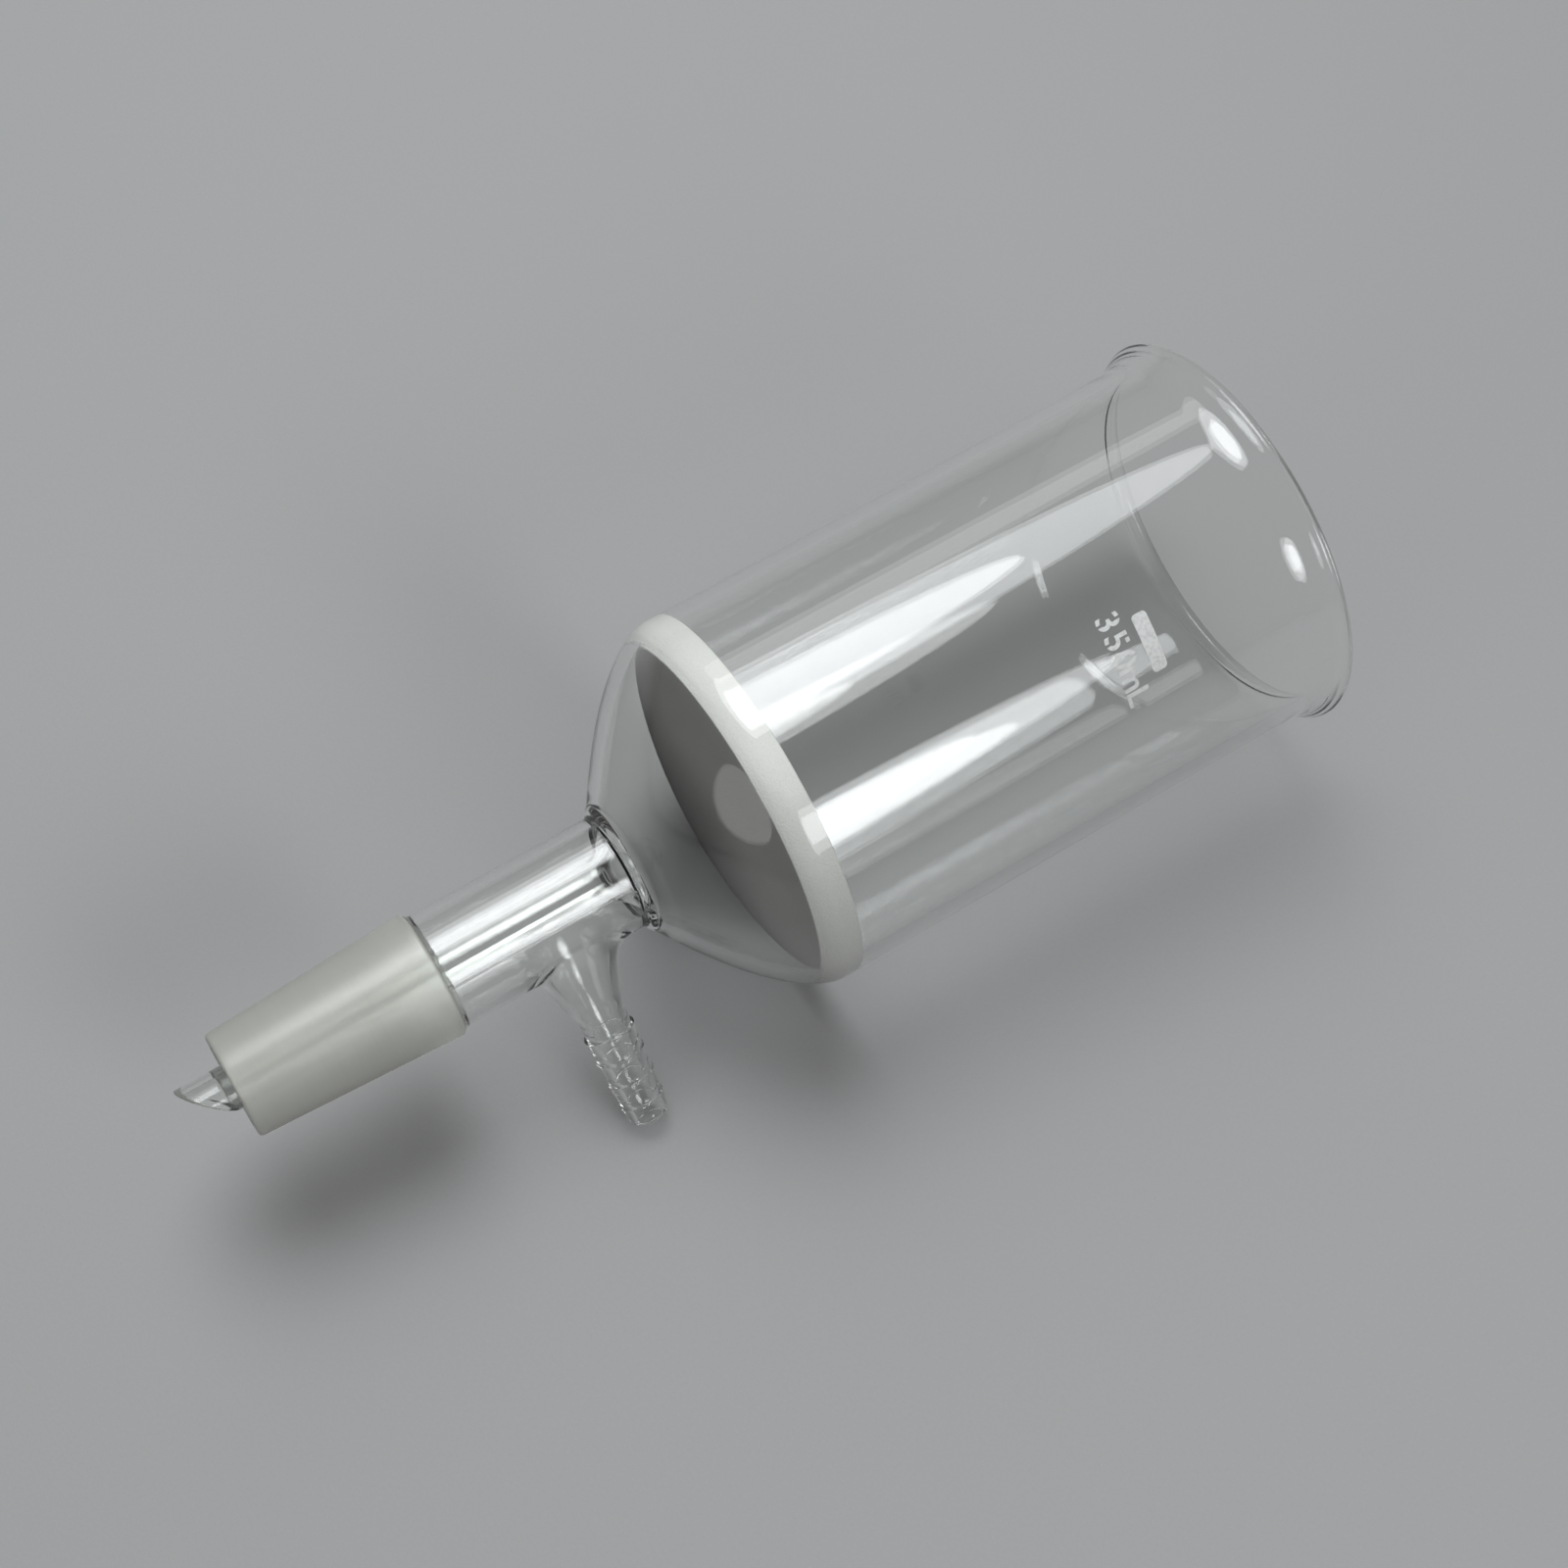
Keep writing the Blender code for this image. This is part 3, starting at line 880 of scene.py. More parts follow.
@dataclass
class NeckAndStem:
    """Ring seal, vacuum jacket, ground joint and drip tube, all round the lower axis."""

    body: BowlBody
    jacket_radius: float = 11.0 * MM
    jacket_bore: float = 9.2 * MM
    jacket_seam: float = 76.4 * MM
    joint_seam: float = 41.6 * MM
    drip_radius: float = 4.2 * MM
    drip_bore: float = 3.0 * MM
    drip_seam: float = 72.0 * MM
    drip_tip: float = -9.2 * MM
    bevel_angle: float = math.radians(44.0)
    bevel_round: float = 0.22 * MM
    segments: int = 144

    def build_ring_seal(self, frame: FunnelFrame, palette: Palette) -> bpy.types.Object:
        """Weld the dome, its stem and the jacket together in one ring.

        Args:
            frame: Where the funnel lies.
            palette: The finishes.

        Returns:
            The piece.
        """
        seam = self.body.neck_seam
        outer_end = (seam, self.body.outer_radius(seam))
        inner = [self.body.inner_point(seam - step) for step in (1.5 * MM, 0.75 * MM, 0.0)]
        high = self.jacket_seam
        outside = flowing([outer_end] + scaled([(80.2, 16.04), (79.3, 14.72), (78.5, 13.5), (78.1, 12.92)]),
                          0.25 * MM)
        ring = flowing([outside[-1]] + scaled([(77.8, 12.68), (77.45, 12.36), (77.15, 12.02), (76.85, 11.5)])
                       + [(high, self.jacket_radius)], 0.15 * MM)
        under = flowing([(high, self.jacket_bore)]
                        + scaled([(77.0, 9.15), (77.3, 8.7), (77.2, 8.0), (76.6, 6.9), (75.6, 5.7),
                                  (74.4, 4.8), (73.2, 4.33), (72.0, 4.2)]), 0.15 * MM)
        throat = flowing(scaled([(72.0, 3.0), (73.5, 3.06), (75.0, 3.5), (76.4, 4.5), (77.4, 5.9),
                                 (78.2, 7.6), (78.95, 9.5), (79.8, 11.3)]) + inner, 0.2 * MM)
        stretches = [(Face.CLEAR, outside), (Face.CLEAR, ring), (Face.SEAM, [ring[-1], under[0]]),
                     (Face.CLEAR, under), (Face.SEAM, [under[-1], throat[0]]), (Face.CLEAR, throat),
                     (Face.SEAM, [throat[-1], outside[0]])]
        bm = turned(stretches, self.segments)
        return made_object("ring_seal_glass", bm, frame.matrix, palette.glass())

    def build_joint(self, frame: FunnelFrame, palette: Palette) -> bpy.types.Object:
        """Turn the cone, ground on its outside, with a clear bore.

        Args:
            frame: Where the funnel lies.
            palette: The finishes.

        Returns:
            The piece.
        """
        ground = scaled([(0.0, 8.45), (0.0, 9.1)]) + arc((0.8 * MM, 9.25 * MM), 0.8 * MM, 170.0, 98.0, 7)
        ground += scaled([(1.6, 10.1), (20.0, 11.0), (38.6, 11.93)])
        ground += arc((38.95 * MM, 11.2 * MM), 0.76 * MM, 92.0, 22.0, 7)
        shoulder = flowing([ground[-1]] + scaled([(40.0, 11.28), (40.5, 11.06), (41.1, 11.0),
                                                  (41.6, 11.0)]), 0.1 * MM)
        bore = flowing(scaled([(41.6, 9.2), (34.0, 9.15), (20.0, 8.8), (8.0, 8.4), (1.2, 8.1)]), 1.5 * MM)
        bore += arc((0.35 * MM, 8.45 * MM), 0.36 * MM, 270.0, 200.0, 4)
        bore.append(ground[0])
        stretches = [(Face.GROUND, ground), (Face.CLEAR, shoulder),
                     (Face.SEAM, [shoulder[-1], bore[0]]), (Face.CLEAR, bore)]
        bm = turned(stretches, self.segments)
        return made_object("ground_joint_glass", bm, frame.matrix, palette.glass())

    def build_drip_tube(self, frame: FunnelFrame, palette: Palette) -> bpy.types.Object:
        """Draw the inner tube and grind its end off at an angle.

        Args:
            frame: Where the funnel lies.
            palette: The finishes.

        Returns:
            The piece.
        """
        low, high = self.drip_tip - 2.0 * MM, self.drip_seam
        outside = [(low, self.drip_radius), (high, self.drip_radius)]
        inside = [(high, self.drip_bore), (low, self.drip_bore)]
        bm = turned([(Face.CLEAR, outside), (Face.SEAM, [outside[-1], inside[0]]), (Face.CLEAR, inside)], 96)
        point = Vector((self.drip_tip, 0.0, self.drip_radius))
        normal = Vector((-math.sin(self.bevel_angle), 0.0, -math.cos(self.bevel_angle)))
        bmesh.ops.bisect_plane(bm, geom=bm.verts[:] + bm.edges[:] + bm.faces[:], plane_co=point,
                               plane_no=normal, clear_outer=True, dist=0.0)
        known = set(bm.faces)
        outer = max(open_loops(bm), key=lambda loop: max(abs(v.co.y) for edge in loop for v in edge.verts))
        drawn_in(bm, outer, self.drip_bore / self.drip_radius, Face.GROUND)
        bmesh.ops.remove_doubles(bm, verts=bm.verts, dist=SKIN_MERGE)
        cut = {face for face in bm.faces if face not in known}
        rims = [edge for edge in bm.edges if len(cut.intersection(edge.link_faces)) == 1]
        bmesh.ops.bevel(bm, geom=rims, offset=self.bevel_round, offset_type="OFFSET", affect="EDGES",
                        segments=3, profile=0.5, material=-1, clamp_overlap=True)
        return made_object("drip_tube_glass", bm, frame.matrix, palette.glass())


# The jacket and the side arm ---------------------------------------------------------------------

@dataclass
class BranchSkin:
    """One skin of the jacket, with the side arm drawn out of it along -Z.

    The skin is a tube of square patches. A hole is opened under the arm and rounded to an oval, and its
    border is drawn out ring by ring along a curve that leaves the tube flat and ends straight.
    """

    radius: float
    station: float
    low: float
    high: float
    half_below: float
    half_above: float
    half_lean: float
    trunk_radius: float
    trunk_reach: float
    trunk_slope: float = 0.3
    shoulder: float = 0.35
    drop: float = 3.4 * MM
    half: int = 24
    blend: int = 3
    rings: int = 22
    far_pitch: float = 1.2 * MM

    @property
    def around(self) -> int:
        """Number of flats round the tube, of which the patch takes a third."""
        return 6 * self.half

    def pitch(self, along: float) -> float:
        """Length of a patch square along the tube, on the side of the arm that along's sign gives."""
        return (self.half_above if along > 0.0 else self.half_below) / self.half

    def stations(self) -> list[float]:
        """Stations of the tube's rings.

        Returns:
            The stations, from the low end up.
        """
        steps = range(-self.half - self.blend, self.half + self.blend + 1)
        near = [self.station + step * self.pitch(step) for step in steps]
        below = max(2, round((near[0] - self.low) / self.far_pitch))
        above = max(2, round((self.high - near[-1]) / self.far_pitch) + 1)
        before = np.linspace(self.low, near[0], below)[:-1]
        after = np.linspace(near[-1], self.high, above)[1:]
        return [float(s) for s in (*before, *near, *after)]

    def grow(self, bm: bmesh.types.BMesh) -> None:
        """Add the skin to a bmesh, open at both ends and at the arm.

        Args:
            bm: The bmesh that takes it.
        """
        stations = self.stations()
        hoop = bmesh.ops.create_circle(bm, cap_ends=False, segments=self.around, radius=self.radius)["verts"]
        turn = Matrix.Translation((stations[0], 0.0, 0.0)) @ Matrix.Rotation(math.radians(90.0), 4, "Y")
        bmesh.ops.transform(bm, matrix=turn, verts=hoop)
        tube = list(hoop)
        edges = list({edge for vert in hoop for edge in vert.link_edges})
        for start, end in zip(stations, stations[1:]):
            fresh, edges = drawn_out(bm, edges)
            bmesh.ops.translate(bm, vec=(end - start, 0.0, 0.0), verts=fresh)
            tube.extend(fresh)
        self._draw_arm(bm, tube)

    def _grid(self, place: Vector) -> tuple[float, float]:
        """Place on the tube, counted in squares from the arm."""
        along = place.x - self.station
        return along / self.pitch(along), math.atan2(place.y, -place.z) * self.around / math.tau

    def _on_tube(self, scale: float, angle: float) -> Vector:
        """Point of the tube on an oval round the arm.

        Args:
            scale: The oval's size, as a share of the hole's.
            angle: Angle round the arm.

        Returns:
            The point.
        """
        lean = self.half_lean * scale * math.sin(angle)
        along = math.cos(angle)
        return Vector((self.station + self.pitch(along) * self.half * scale * along,
                       self.radius * math.sin(lean), -self.radius * math.cos(lean)))

    @staticmethod
    def _angle(along: float, across: float) -> float:
        """Angle round the arm that a place on a square ring of patches turns to.

        Args:
            along: Squares from the arm, along the tube.
            across: Squares from the arm, round the tube.

        Returns:
            The angle.
        """
        ring = max(abs(along), abs(across))
        if abs(along) >= abs(across):
            angle = 0.25 * math.pi * across / ring
            return angle if along > 0.0 else math.pi - angle
        angle = math.pi / 2.0 - 0.25 * math.pi * along / ring
        return angle if across > 0.0 else -angle

    def _draw_arm(self, bm: bmesh.types.BMesh, tube: Sequence[bmesh.types.BMVert]) -> None:
        """Open the tube under the arm, round the hole and draw the arm out.

        Args:
            bm: The bmesh.
            tube: This skin's points in it.
        """
        half = self.half
        faces = {face for vert in tube for face in vert.link_faces}
        middles = {face: self._grid(face.calc_center_median()) for face in faces}
        hole = [face for face, (u, v) in middles.items() if abs(u) < half and abs(v) < half]
        bmesh.ops.delete(bm, geom=hole, context="FACES")
        left = [vert for vert in tube if vert.is_valid]
        angles = bm.verts.layers.float["angle"]
        border = []
        for vert in left:
            u, v = self._grid(vert.co)
            ring = max(abs(u), abs(v))
            share = 1.0 - (ring - half) / self.blend
            if share <= 0.01:
                continue
            vert[angles] = self._angle(u, v)
            oval = self._on_tube(ring / half, vert[angles])
            lean = share * math.atan2(oval.y, -oval.z) + (1.0 - share) * math.atan2(vert.co.y, -vert.co.z)
            vert.co = (share * oval.x + (1.0 - share) * vert.co.x, self.radius * math.sin(lean),
                       -self.radius * math.cos(lean))
            if share > 0.99:
                border.append(vert)
        marked = set(border)
        edges = [edge for edge in bm.edges if edge.is_boundary and marked.issuperset(edge.verts)]
        for ring in range(1, self.rings + 1):
            fresh, edges = drawn_out(bm, edges)
            for vert in fresh:
                vert.co = self._fillet(ring / self.rings, vert[angles])

    def _fillet(self, share: float, angle: float) -> Vector:
        """Point of the curve from the hole's border to the arm.

        Args:
            share: How far along the curve, from 0 to 1.
            angle: Angle round the arm.

        Returns:
            The point.
        """
        step = 0.01
        start = self._on_tube(1.0, angle)
        inward = (self._on_tube(1.0 - step, angle) - start) * (self.shoulder / step)
        end = Vector((self.station + self.trunk_radius * math.cos(angle),
                      self.trunk_radius * math.sin(angle), -self.trunk_reach))
        spread = self.trunk_slope * self.drop
        above = end + Vector((spread * math.cos(angle), spread * math.sin(angle), self.drop))
        t, u = share, 1.0 - share
        return u ** 3 * start + 3.0 * u * u * t * (start + inward) + 3.0 * u * t * t * above + t ** 3 * end


def drawn_out(bm: bmesh.types.BMesh, edges: Sequence[bmesh.types.BMEdge]
              ) -> tuple[list[bmesh.types.BMVert], list[bmesh.types.BMEdge]]:
    """Extrude a loop of edges in place.

    Args:
        bm: The bmesh.
        edges: The loop.

    Returns:
        The new points, and the new loop.
    """
    made = bmesh.ops.extrude_edge_only(bm, edges=edges)["geom"]
    fresh = {item for item in made if isinstance(item, bmesh.types.BMVert)}
    loop = [item for item in made if isinstance(item, bmesh.types.BMEdge) and fresh.issuperset(item.verts)]
    return list(fresh), loop


def drawn_in(bm: bmesh.types.BMesh, loop: Sequence[bmesh.types.BMEdge], share: float, face: Face) -> None:
    """Close a wall at one end by drawing its outer border in to its inner one, which it then meets.

    Args:
        bm: The bmesh.
        loop: The outer border.
        share: The inner border's size, as a share of the outer's.
        face: What the new faces are.
    """
    middle = loop_middle(loop)
    fresh, _ = drawn_out(bm, loop)
    for vert in fresh:
        vert.co = middle + share * (vert.co - middle)
    for made in {made for vert in fresh for made in vert.link_faces}:
        made.material_index = face.value


@dataclass
class SideArm:
    """Jacket with its arm, the arm's straight run and the ridged hose barb."""

    neck: NeckAndStem
    station: float = 63.2 * MM
    half_below: float = 10.5 * MM
    half_above: float = 11.7 * MM
    half_across: float = 9.3 * MM
    skin: float = 1.9 * MM
    trunk_radius: float = 5.8 * MM
    trunk_bore: float = 4.0 * MM
    trunk_reach: float = 18.5 * MM
    barb_start: float = 24.1 * MM
    arm_radius: float = 4.4 * MM
    arm_bore: float = 2.9 * MM
    barb_end: float = 45.6 * MM
    barb_bore: float = 2.3 * MM
    first_crest: float = 26.6 * MM
    crest_pitch: float = 4.93 * MM
    crests: int = 4
    crest_radius: float = 4.95 * MM
    crest_fall: float = 0.2 * MM
    taper: float = 0.52 * MM
    ridge_lead: float = 0.75 * MM
    long_edge: float = 1.2 * MM
    wander: float = 0.10 * MM
    swell: float = 0.05 * MM
    end_radius: float = 3.6 * MM

    def build_jacket(self, frame: FunnelFrame, palette: Palette) -> bpy.types.Object:
        """Draw the arm out of the jacket's two skins and close the wall at its three ends.

        Args:
            frame: Where the funnel lies.
            palette: The finishes.

        Returns:
            The piece.
        """
        neck = self.neck
        bm = bmesh.new()
        bm.verts.layers.float.new("angle")
        ends = {"station": self.station, "low": neck.joint_seam, "high": neck.jacket_seam,
                "trunk_reach": self.trunk_reach}
        BranchSkin(radius=neck.jacket_radius, half_below=self.half_below, half_above=self.half_above,
                   half_lean=math.asin(self.half_across / neck.jacket_radius),
                   trunk_radius=self.trunk_radius, **ends).grow(bm)
        for loop in open_loops(bm):
            arm = loop_middle(loop).z < -neck.jacket_radius
            share = self.trunk_bore / self.trunk_radius if arm else neck.jacket_bore / neck.jacket_radius
            drawn_in(bm, loop, share, Face.SEAM)
        BranchSkin(radius=neck.jacket_bore, half_below=self.half_below - self.skin,
                   half_above=self.half_above - self.skin,
                   half_lean=math.asin((self.half_across - self.skin) / neck.jacket_bore),
                   trunk_radius=self.trunk_bore, drop=4.6 * MM, **ends).grow(bm)
        bmesh.ops.remove_doubles(bm, verts=bm.verts, dist=SKIN_MERGE)
        return made_object("jacket_glass", bm, frame.matrix, palette.glass())

    def build_arm(self, frame: FunnelFrame, palette: Palette) -> bpy.types.Object:
        """Draw the arm's straight run down to the barb.

        Args:
            frame: Where the funnel lies.
            palette: The finishes.

        Returns:
            The piece.
        """
        outer = self._narrowing(self.trunk_radius, self.arm_radius)
        inner = self._narrowing(self.trunk_bore, self.arm_bore)
        bm = turned([(Face.CLEAR, outer), (Face.SEAM, [outer[-1], inner[-1]]),
                     (Face.CLEAR, inner[::-1]), (Face.SEAM, [inner[0], outer[0]])], 96)
        return made_object("side_arm_glass", bm, frame.arm_matrix(self.station), palette.glass())

    def _narrowing(self, wide: float, narrow: float) -> list[Point]:
        """Outline of one skin of the straight run.

        Args:
            wide: Its radius at the trunk.
            narrow: Its radius at the barb.

        Returns:
            The points.
        """
        start, run = self.trunk_reach, self.barb_start - self.trunk_reach
        return flowing([(start, wide), (start + 0.25 * run, wide - 0.4 * MM),
                        (start + 0.6 * run, narrow + 0.34 * MM), (start + run, narrow)], 0.3 * MM)

    def build_barb(self, frame: FunnelFrame, palette: Palette) -> bpy.types.Object:
        """Press the barb into a stack of cones, each with a thin ridge, and fire-polish its end.

        Args:
            frame: Where the funnel lies.
            palette: The finishes.

        Returns:
            The piece.
        """
        stretches = [(Face.CLEAR, [(self.barb_start, self.arm_radius),
                                   (self.first_crest - 1.3 * MM, self.arm_radius)])]
        for crest in range(self.crests):
            top = self.first_crest + crest * self.crest_pitch
            high = self.crest_radius - crest * self.crest_fall
            ridge = self._ridge(stretches[-1][1][-1], top, high)
            stretches.append((Face.CLEAR, ridge))
            if crest < self.crests - 1:
                foot = (top + self.crest_pitch - self.ridge_lead, high - self.taper)
                stretches.append((Face.CLEAR, [ridge[-1], foot]))
        lip = self._lip(stretches[-1][1][-1])
        bore = [lip[-1], (self.barb_start + 2.0 * MM, self.arm_bore - 0.1 * MM),
                (self.barb_start, self.arm_bore)]
        stretches += [(Face.CLEAR, lip), (Face.CLEAR, bore), (Face.SEAM, [bore[-1], stretches[0][1][0]])]
        bm = turned(stretches, 96)
        long = [edge for edge in bm.edges if edge.calc_length() > self.long_edge]
        bmesh.ops.subdivide_edges(bm, edges=long, cuts=5, use_grid_fill=True)
        self._hand_worked(bm)
        return made_object("hose_barb_glass", bm, frame.arm_matrix(self.station), palette.glass(), 60.0)

    @staticmethod
    def _ridge(foot: Point, top: float, high: float) -> list[Point]:
        """Outline of one thin ridge, steep on the side of the jacket.

        Args:
            foot: Where the cone before it ends.
            top: Reach of the ridge.
            high: Its radius.

        Returns:
            The points.
        """
        return flowing([foot, (top - 0.42 * MM, foot[1] + 0.06 * MM), (top - 0.24 * MM, high - 0.16 * MM),
                        (top - 0.08 * MM, high - 0.03 * MM), (top + 0.1 * MM, high - 0.02 * MM),
                        (top + 0.3 * MM, high - 0.12 * MM), (top + 0.55 * MM, high - 0.19 * MM)], 0.06 * MM)

    def _lip(self, start: Point) -> list[Point]:
        """Outline of the last cone, its fire-polished end and the start of the bore.

        Args:
            start: Where the last ridge ends.

        Returns:
            The points.
        """
        end, radius, bore = self.barb_end, self.end_radius, self.barb_bore
        return flowing([start, (end - 2.4 * MM, radius + 0.42 * MM), (end - 1.2 * MM, radius + 0.25 * MM),
                        (end - 0.4 * MM, radius + 0.02 * MM), (end - 0.05 * MM, radius - 0.35 * MM),
                        (end, radius - 0.62 * MM), (end - 0.12 * MM, radius - 0.95 * MM),
                        (end - 0.6 * MM, bore + 0.06 * MM), (end - 1.5 * MM, bore)], 0.1 * MM)

    def _hand_worked(self, bm: bmesh.types.BMesh) -> None:
        """Let each ridge wander a little, as tongs leave it.

        Args:
            bm: The barb, turned about +X.
        """
        for vert in bm.verts:
            angle = math.atan2(vert.co.z, vert.co.y)
            radius = math.hypot(vert.co.y, vert.co.z)
            depth = min(1.0, max(0.0, (radius - self.arm_bore) / (self.arm_radius - self.arm_bore)))
            along = (vert.co.x - self.first_crest) / self.crest_pitch
            before_end = (self.barb_end - vert.co.x) / (3.0 * MM)
            fade = min(1.0, max(0.0, along + 0.3)) * min(1.0, max(0.0, before_end))
            ridge = round(along)
            wave = math.sin(2.0 * angle + 1.9 * ridge) + 0.4 * math.sin(3.0 * angle + 2.3 * ridge)
            vert.co.x += depth * fade * self.wander * wave
            grow = 1.0 + depth * fade * self.swell * math.sin(3.0 * angle + 1.3 * ridge) / radius
            vert.co.y *= grow
            vert.co.z *= grow


# The printed capacity ----------------------------------------------------------------------------

@dataclass
class PrintedCapacity:
    """White enamel digits and bar on the outside of the bowl."""

    body: BowlBody
    sunk: float = 0.03 * MM
    proud: float = 0.06 * MM
    start_angle: float = math.radians(27.5)
    advance: float = math.radians(5.7)
    baseline: float = 165.2 * MM
    digit_height: float = 4.4 * MM
    boldness: float = 0.10 * MM
    slot: float = 0.5 * MM
    bar_low: float = 171.4 * MM
    bar_high: float = 174.4 * MM
    bar_from: float = math.radians(32.0)
    bar_to: float = math.radians(49.5)
    bar_corner: float = 0.8 * MM
    slice_width: float = 0.25 * MM

    def wrapped(self, name: str, bm: bmesh.types.BMesh, start: float, station: float,
                frame: FunnelFrame, palette: Palette) -> bpy.types.Object:
        """Give a flat mark its thickness and wrap it on the bowl.

        Args:
            name: The piece's name.
            bm: The flat mark, with x round the bowl and y towards the mouth.
            start: Angle from straight up at which x is 0.
            station: Station at which y is 0.
            frame: Where the funnel lies.
            palette: The finishes.

        Returns:
            The printed mark.
        """
        radius = self.body.radius
        low = min(vert.co.x for vert in bm.verts)
        high = max(vert.co.x for vert in bm.verts)
        width = self.slice_width
        for cut in width * np.arange(math.ceil(low / width), math.ceil(high / width)):
            bmesh.ops.bisect_plane(bm, geom=bm.verts[:] + bm.edges[:] + bm.faces[:],
                                   plane_co=(cut, 0.0, 0.0), plane_no=(1.0, 0.0, 0.0), dist=CUT_TOLERANCE)
        sole = bm.faces[:]
        grown = bmesh.ops.extrude_face_region(bm, geom=sole, use_keep_orig=True)["geom"]
        top = [item for item in grown if isinstance(item, bmesh.types.BMVert)]
        bmesh.ops.translate(bm, vec=(0.0, 0.0, self.sunk + self.proud), verts=top)
        for vert in bm.verts:
            angle = start + vert.co.x / radius
            out = radius - self.sunk + vert.co.z
            vert.co = (station + vert.co.y, -out * math.sin(angle), out * math.cos(angle))
        return made_object(name, bm, frame.upright, (palette.enamel,), 30.0)

    def build_letter(self, name: str, letter: str, place: int, frame: FunnelFrame,
                     palette: Palette) -> bpy.types.Object:
        """Print one letter.

        Args:
            name: The piece's name.
            letter: The letter.
            place: Its place in the line, from 0.
            frame: Where the funnel lies.
            palette: The finishes.

        Returns:
            The printed letter.
        """
        text = bpy.data.curves.new(name, "FONT")
        text.body = letter
        text.size = self.digit_height / 0.7
        text.resolution_u = 6
        text.offset = self.boldness
        text.align_x = "CENTER"
        source = bpy.data.objects.new(name, text)
        mesh = source.to_mesh()
        bm = bmesh.new()
        bm.from_mesh(mesh)
        source.to_mesh_clear()
        bpy.data.objects.remove(source)
        bpy.data.curves.remove(text)
        bmesh.ops.remove_doubles(bm, verts=bm.verts, dist=PRINT_MERGE)
        if letter.isdigit():
            self._stencilled(bm)
        angle = self.start_angle + (place + 0.5) * self.advance
        return self.wrapped(name, bm, angle, self.baseline, frame, palette)

    def _stencilled(self, bm: bmesh.types.BMesh) -> None:
        """Break a digit's upper and lower strokes, as the bridges of a stencil do.

        Args:
            bm: The flat digit.
        """
        middle = 0.5 * self.digit_height
        for side in (-0.5, 0.5):
            bmesh.ops.bisect_plane(bm, geom=bm.verts[:] + bm.edges[:] + bm.faces[:], plane_no=(1.0, 0.0, 0.0),
                                   plane_co=(side * self.slot, 0.0, 0.0), dist=CUT_TOLERANCE)
        gap = [face for face in bm.faces if abs(face.calc_center_median().x) < 0.5 * self.slot
               and abs(face.calc_center_median().y - middle) > 0.2 * self.digit_height]
        bmesh.ops.delete(bm, geom=gap, context="FACES")

    def build_bar(self, frame: FunnelFrame, palette: Palette) -> bpy.types.Object:
        """Print the bar above the digits.

        Args:
            frame: Where the funnel lies.
            palette: The finishes.

        Returns:
            The piece.
        """
        radius = self.body.radius
        bm = bmesh.new()
        bmesh.ops.create_grid(bm, x_segments=1, y_segments=1, size=0.5)
        bmesh.ops.scale(bm, vec=((self.bar_to - self.bar_from) * radius, self.bar_high - self.bar_low, 1.0),
                        verts=bm.verts)
        bmesh.ops.bevel(bm, geom=bm.verts[:], offset=self.bar_corner, affect="VERTICES", segments=6,
                        profile=0.5, material=-1)
        return self.wrapped("bar_print", bm, 0.5 * (self.bar_from + self.bar_to),
                            0.5 * (self.bar_low + self.bar_high), frame, palette)


# The studio --------------------------------------------------------------------------------------

@dataclass
class Softbox:
    """A long soft lamp that looks at the funnel."""

    name: str
    towards: tuple[float, float, float]
    distance: float
    length: float
    width: float
    power: float
    colour: Colour = (1.0, 1.0, 1.0)
    centre: tuple[float, float, float] = (0.02, 0.0, 0.035)

    def hang(self) -> bpy.types.Object:
        """Hang the lamp, its length along X as near as it can be.

        Returns:
            The lamp.
        """
        lamp = bpy.data.lights.new(self.name, "AREA")
        lamp.shape = "ELLIPSE"
        lamp.size, lamp.size_y = self.length, self.width
        lamp.energy, lamp.color = self.power, self.colour
        back = Vector(self.towards).normalized()
        across = back.cross((1.0, 0.0, 0.0)).normalized()
        along = across.cross(back)
        turn = Matrix((along, across, back)).transposed().to_4x4()
        thing = bpy.data.objects.new(self.name, lamp)
        thing.matrix_world = Matrix.Translation(Vector(self.centre) + self.distance * back) @ turn
        bpy.context.scene.collection.objects.link(thing)
        return thing


LAMPS = (
    Softbox("softbox_back", (0.08, 0.41, 1.0), 0.95, 0.74, 0.74, 5.0, (0.96, 0.98, 1.0)),
    Softbox("softbox_back_core", (0.10, 0.36, 1.0), 0.92, 0.46, 0.46, 2.6, (0.96, 0.98, 1.0)),
    Softbox("softbox_front", (0.12, -0.82, 0.54), 0.95, 0.48, 0.46, 2.0, (0.97, 0.985, 1.0)),
    Softbox("softbox_front_core", (0.12, -0.82, 0.56), 0.92, 0.30, 0.28, 1.0, (0.97, 0.985, 1.0)),
    Softbox("softbox_edge", (0.30, 1.0, 0.9), 1.15, 0.7, 0.3, 0.7),
    Softbox("fill_left", (-0.9, -0.25, 0.45), 1.1, 0.6, 0.8, 1.3),
)


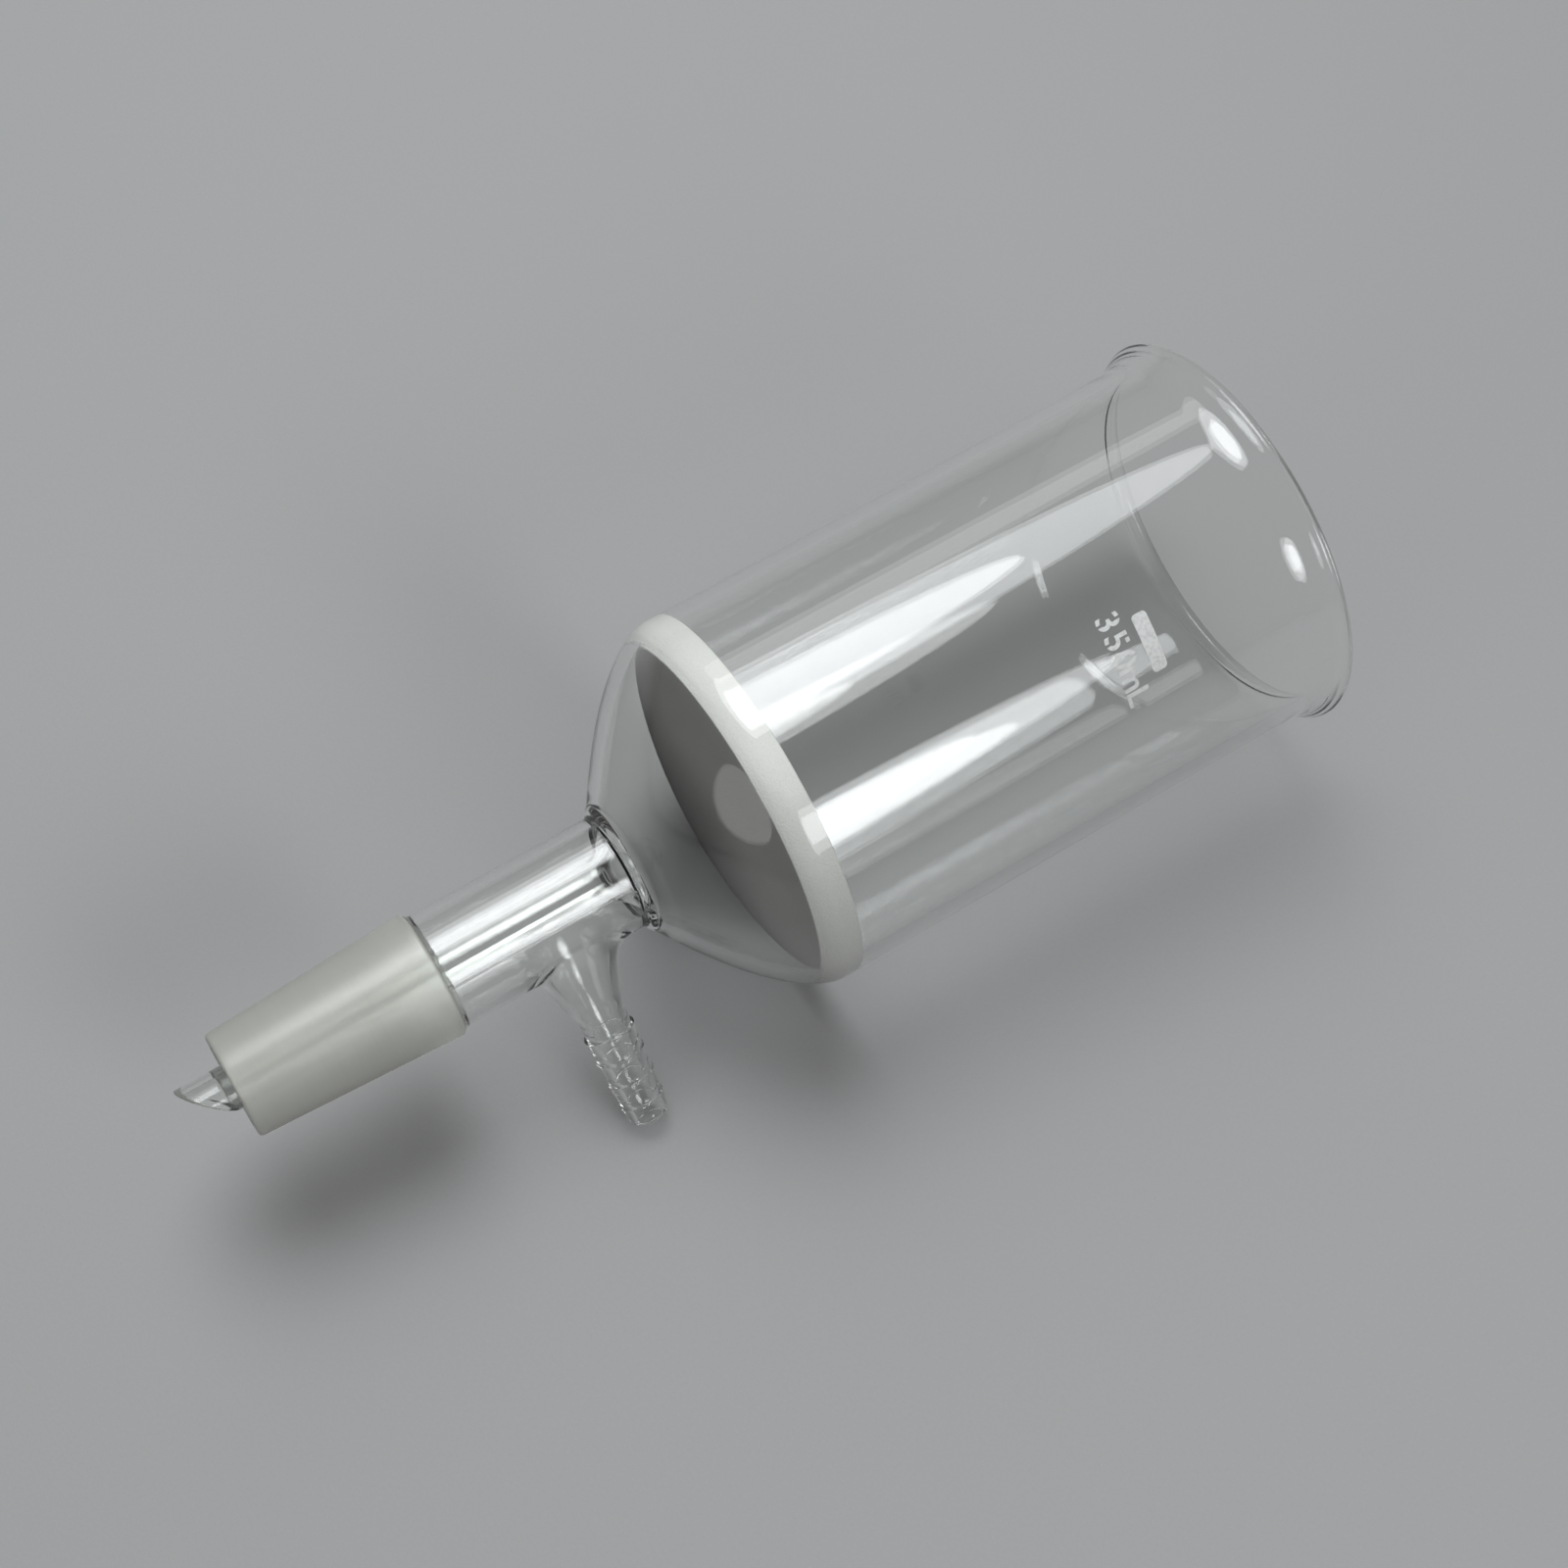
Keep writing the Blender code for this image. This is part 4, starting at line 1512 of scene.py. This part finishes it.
@dataclass
class Studio:
    """Bench, lamps and camera."""

    floor_radius: float = 3.0
    lens: float = 67.5
    eye: tuple[float, float, float] = (-0.1207, -0.2130, 0.5070)
    gaze: tuple[float, float, float] = (0.2465, 0.3983, -0.8835)
    gloom: float = 0.19

    def build_floor(self) -> bpy.types.Object:
        """Lay a plain bench top.

        Returns:
            The bench top.
        """
        bm = bmesh.new()
        bmesh.ops.create_circle(bm, cap_ends=True, segments=96, radius=self.floor_radius)
        floor = made_object("bench", bm, Matrix.Identity(4), (BenchPaper().build(),))
        return floor

    def light(self) -> None:
        """Hang every lamp under a dim ceiling."""
        for lamp in LAMPS:
            lamp.hang()
        world = bpy.data.worlds.new("dim_room")
        world.use_nodes = True
        background = world.node_tree.nodes["Background"]
        background.inputs[0].default_value = (self.gloom, self.gloom, self.gloom, 1.0)
        bpy.context.scene.world = world

    def aim_camera(self) -> None:
        """Set the camera with its horizon level."""
        data = bpy.data.cameras.new("camera")
        data.lens = self.lens
        data.sensor_width = 36.0
        data.clip_start, data.clip_end = 0.01, 20.0
        back = -Vector(self.gaze).normalized()
        right = Vector((0.0, 0.0, 1.0)).cross(back).normalized()
        turn = Matrix((right, back.cross(right), back)).transposed().to_4x4()
        camera = bpy.data.objects.new("camera", data)
        camera.matrix_world = Matrix.Translation(self.eye) @ turn
        bpy.context.scene.collection.objects.link(camera)
        bpy.context.scene.camera = camera

    def set_light_paths(self) -> None:
        """Let light cross all the walls of glass."""
        scene = bpy.context.scene
        scene.cycles.max_bounces = 24
        scene.cycles.transmission_bounces = 24
        scene.cycles.glossy_bounces = 8
        scene.cycles.transparent_max_bounces = 32
        scene.cycles.caustics_reflective = False
        scene.cycles.caustics_refractive = False
        scene.view_settings.view_transform = "Standard"


# -------------------------------------------------------------------------------------------------


def main() -> None:
    """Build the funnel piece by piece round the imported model, then the studio."""
    logging.basicConfig(level=logging.INFO, format="%(name)s: %(message)s")
    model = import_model()
    frame = FunnelFrame.found(model)
    palette = Palette.make(frame)

    body = BowlBody()
    settled(body.build_bowl(frame, palette), "clear_glass", "bowl")
    settled(body.build_dome(frame, palette), "clear_glass", "filtrate_dome")
    settled(body.build_frit(frame, palette), "sintered_glass", "frit_disc")

    neck = NeckAndStem(body)
    settled(neck.build_ring_seal(frame, palette), "clear_glass", "ring_seal")
    settled(neck.build_joint(frame, palette), "ground_glass", "ground_joint")
    settled(neck.build_drip_tube(frame, palette), "clear_glass", "drip_tube")

    arm = SideArm(neck)
    settled(arm.build_jacket(frame, palette), "clear_glass", "vacuum_jacket")
    settled(arm.build_arm(frame, palette), "clear_glass", "side_arm")
    settled(arm.build_barb(frame, palette), "clear_glass", "hose_barb")

    capacity = PrintedCapacity(body)
    settled(capacity.build_bar(frame, palette), "white_enamel", "capacity_bar")
    letters = (("3", "digit_3"), ("5", "digit_5"), ("0", "digit_0"), ("m", "letter_m"), ("L", "letter_l"))
    for place, (letter, name) in enumerate(letters):
        mark = capacity.build_letter(f"{name}_print", letter, place, frame, palette)
        settled(mark, "white_enamel", f"capacity_{name}")

    studio = Studio()
    studio.build_floor()
    studio.light()
    studio.aim_camera()
    studio.set_light_paths()


if __name__ == "__main__":
    main()
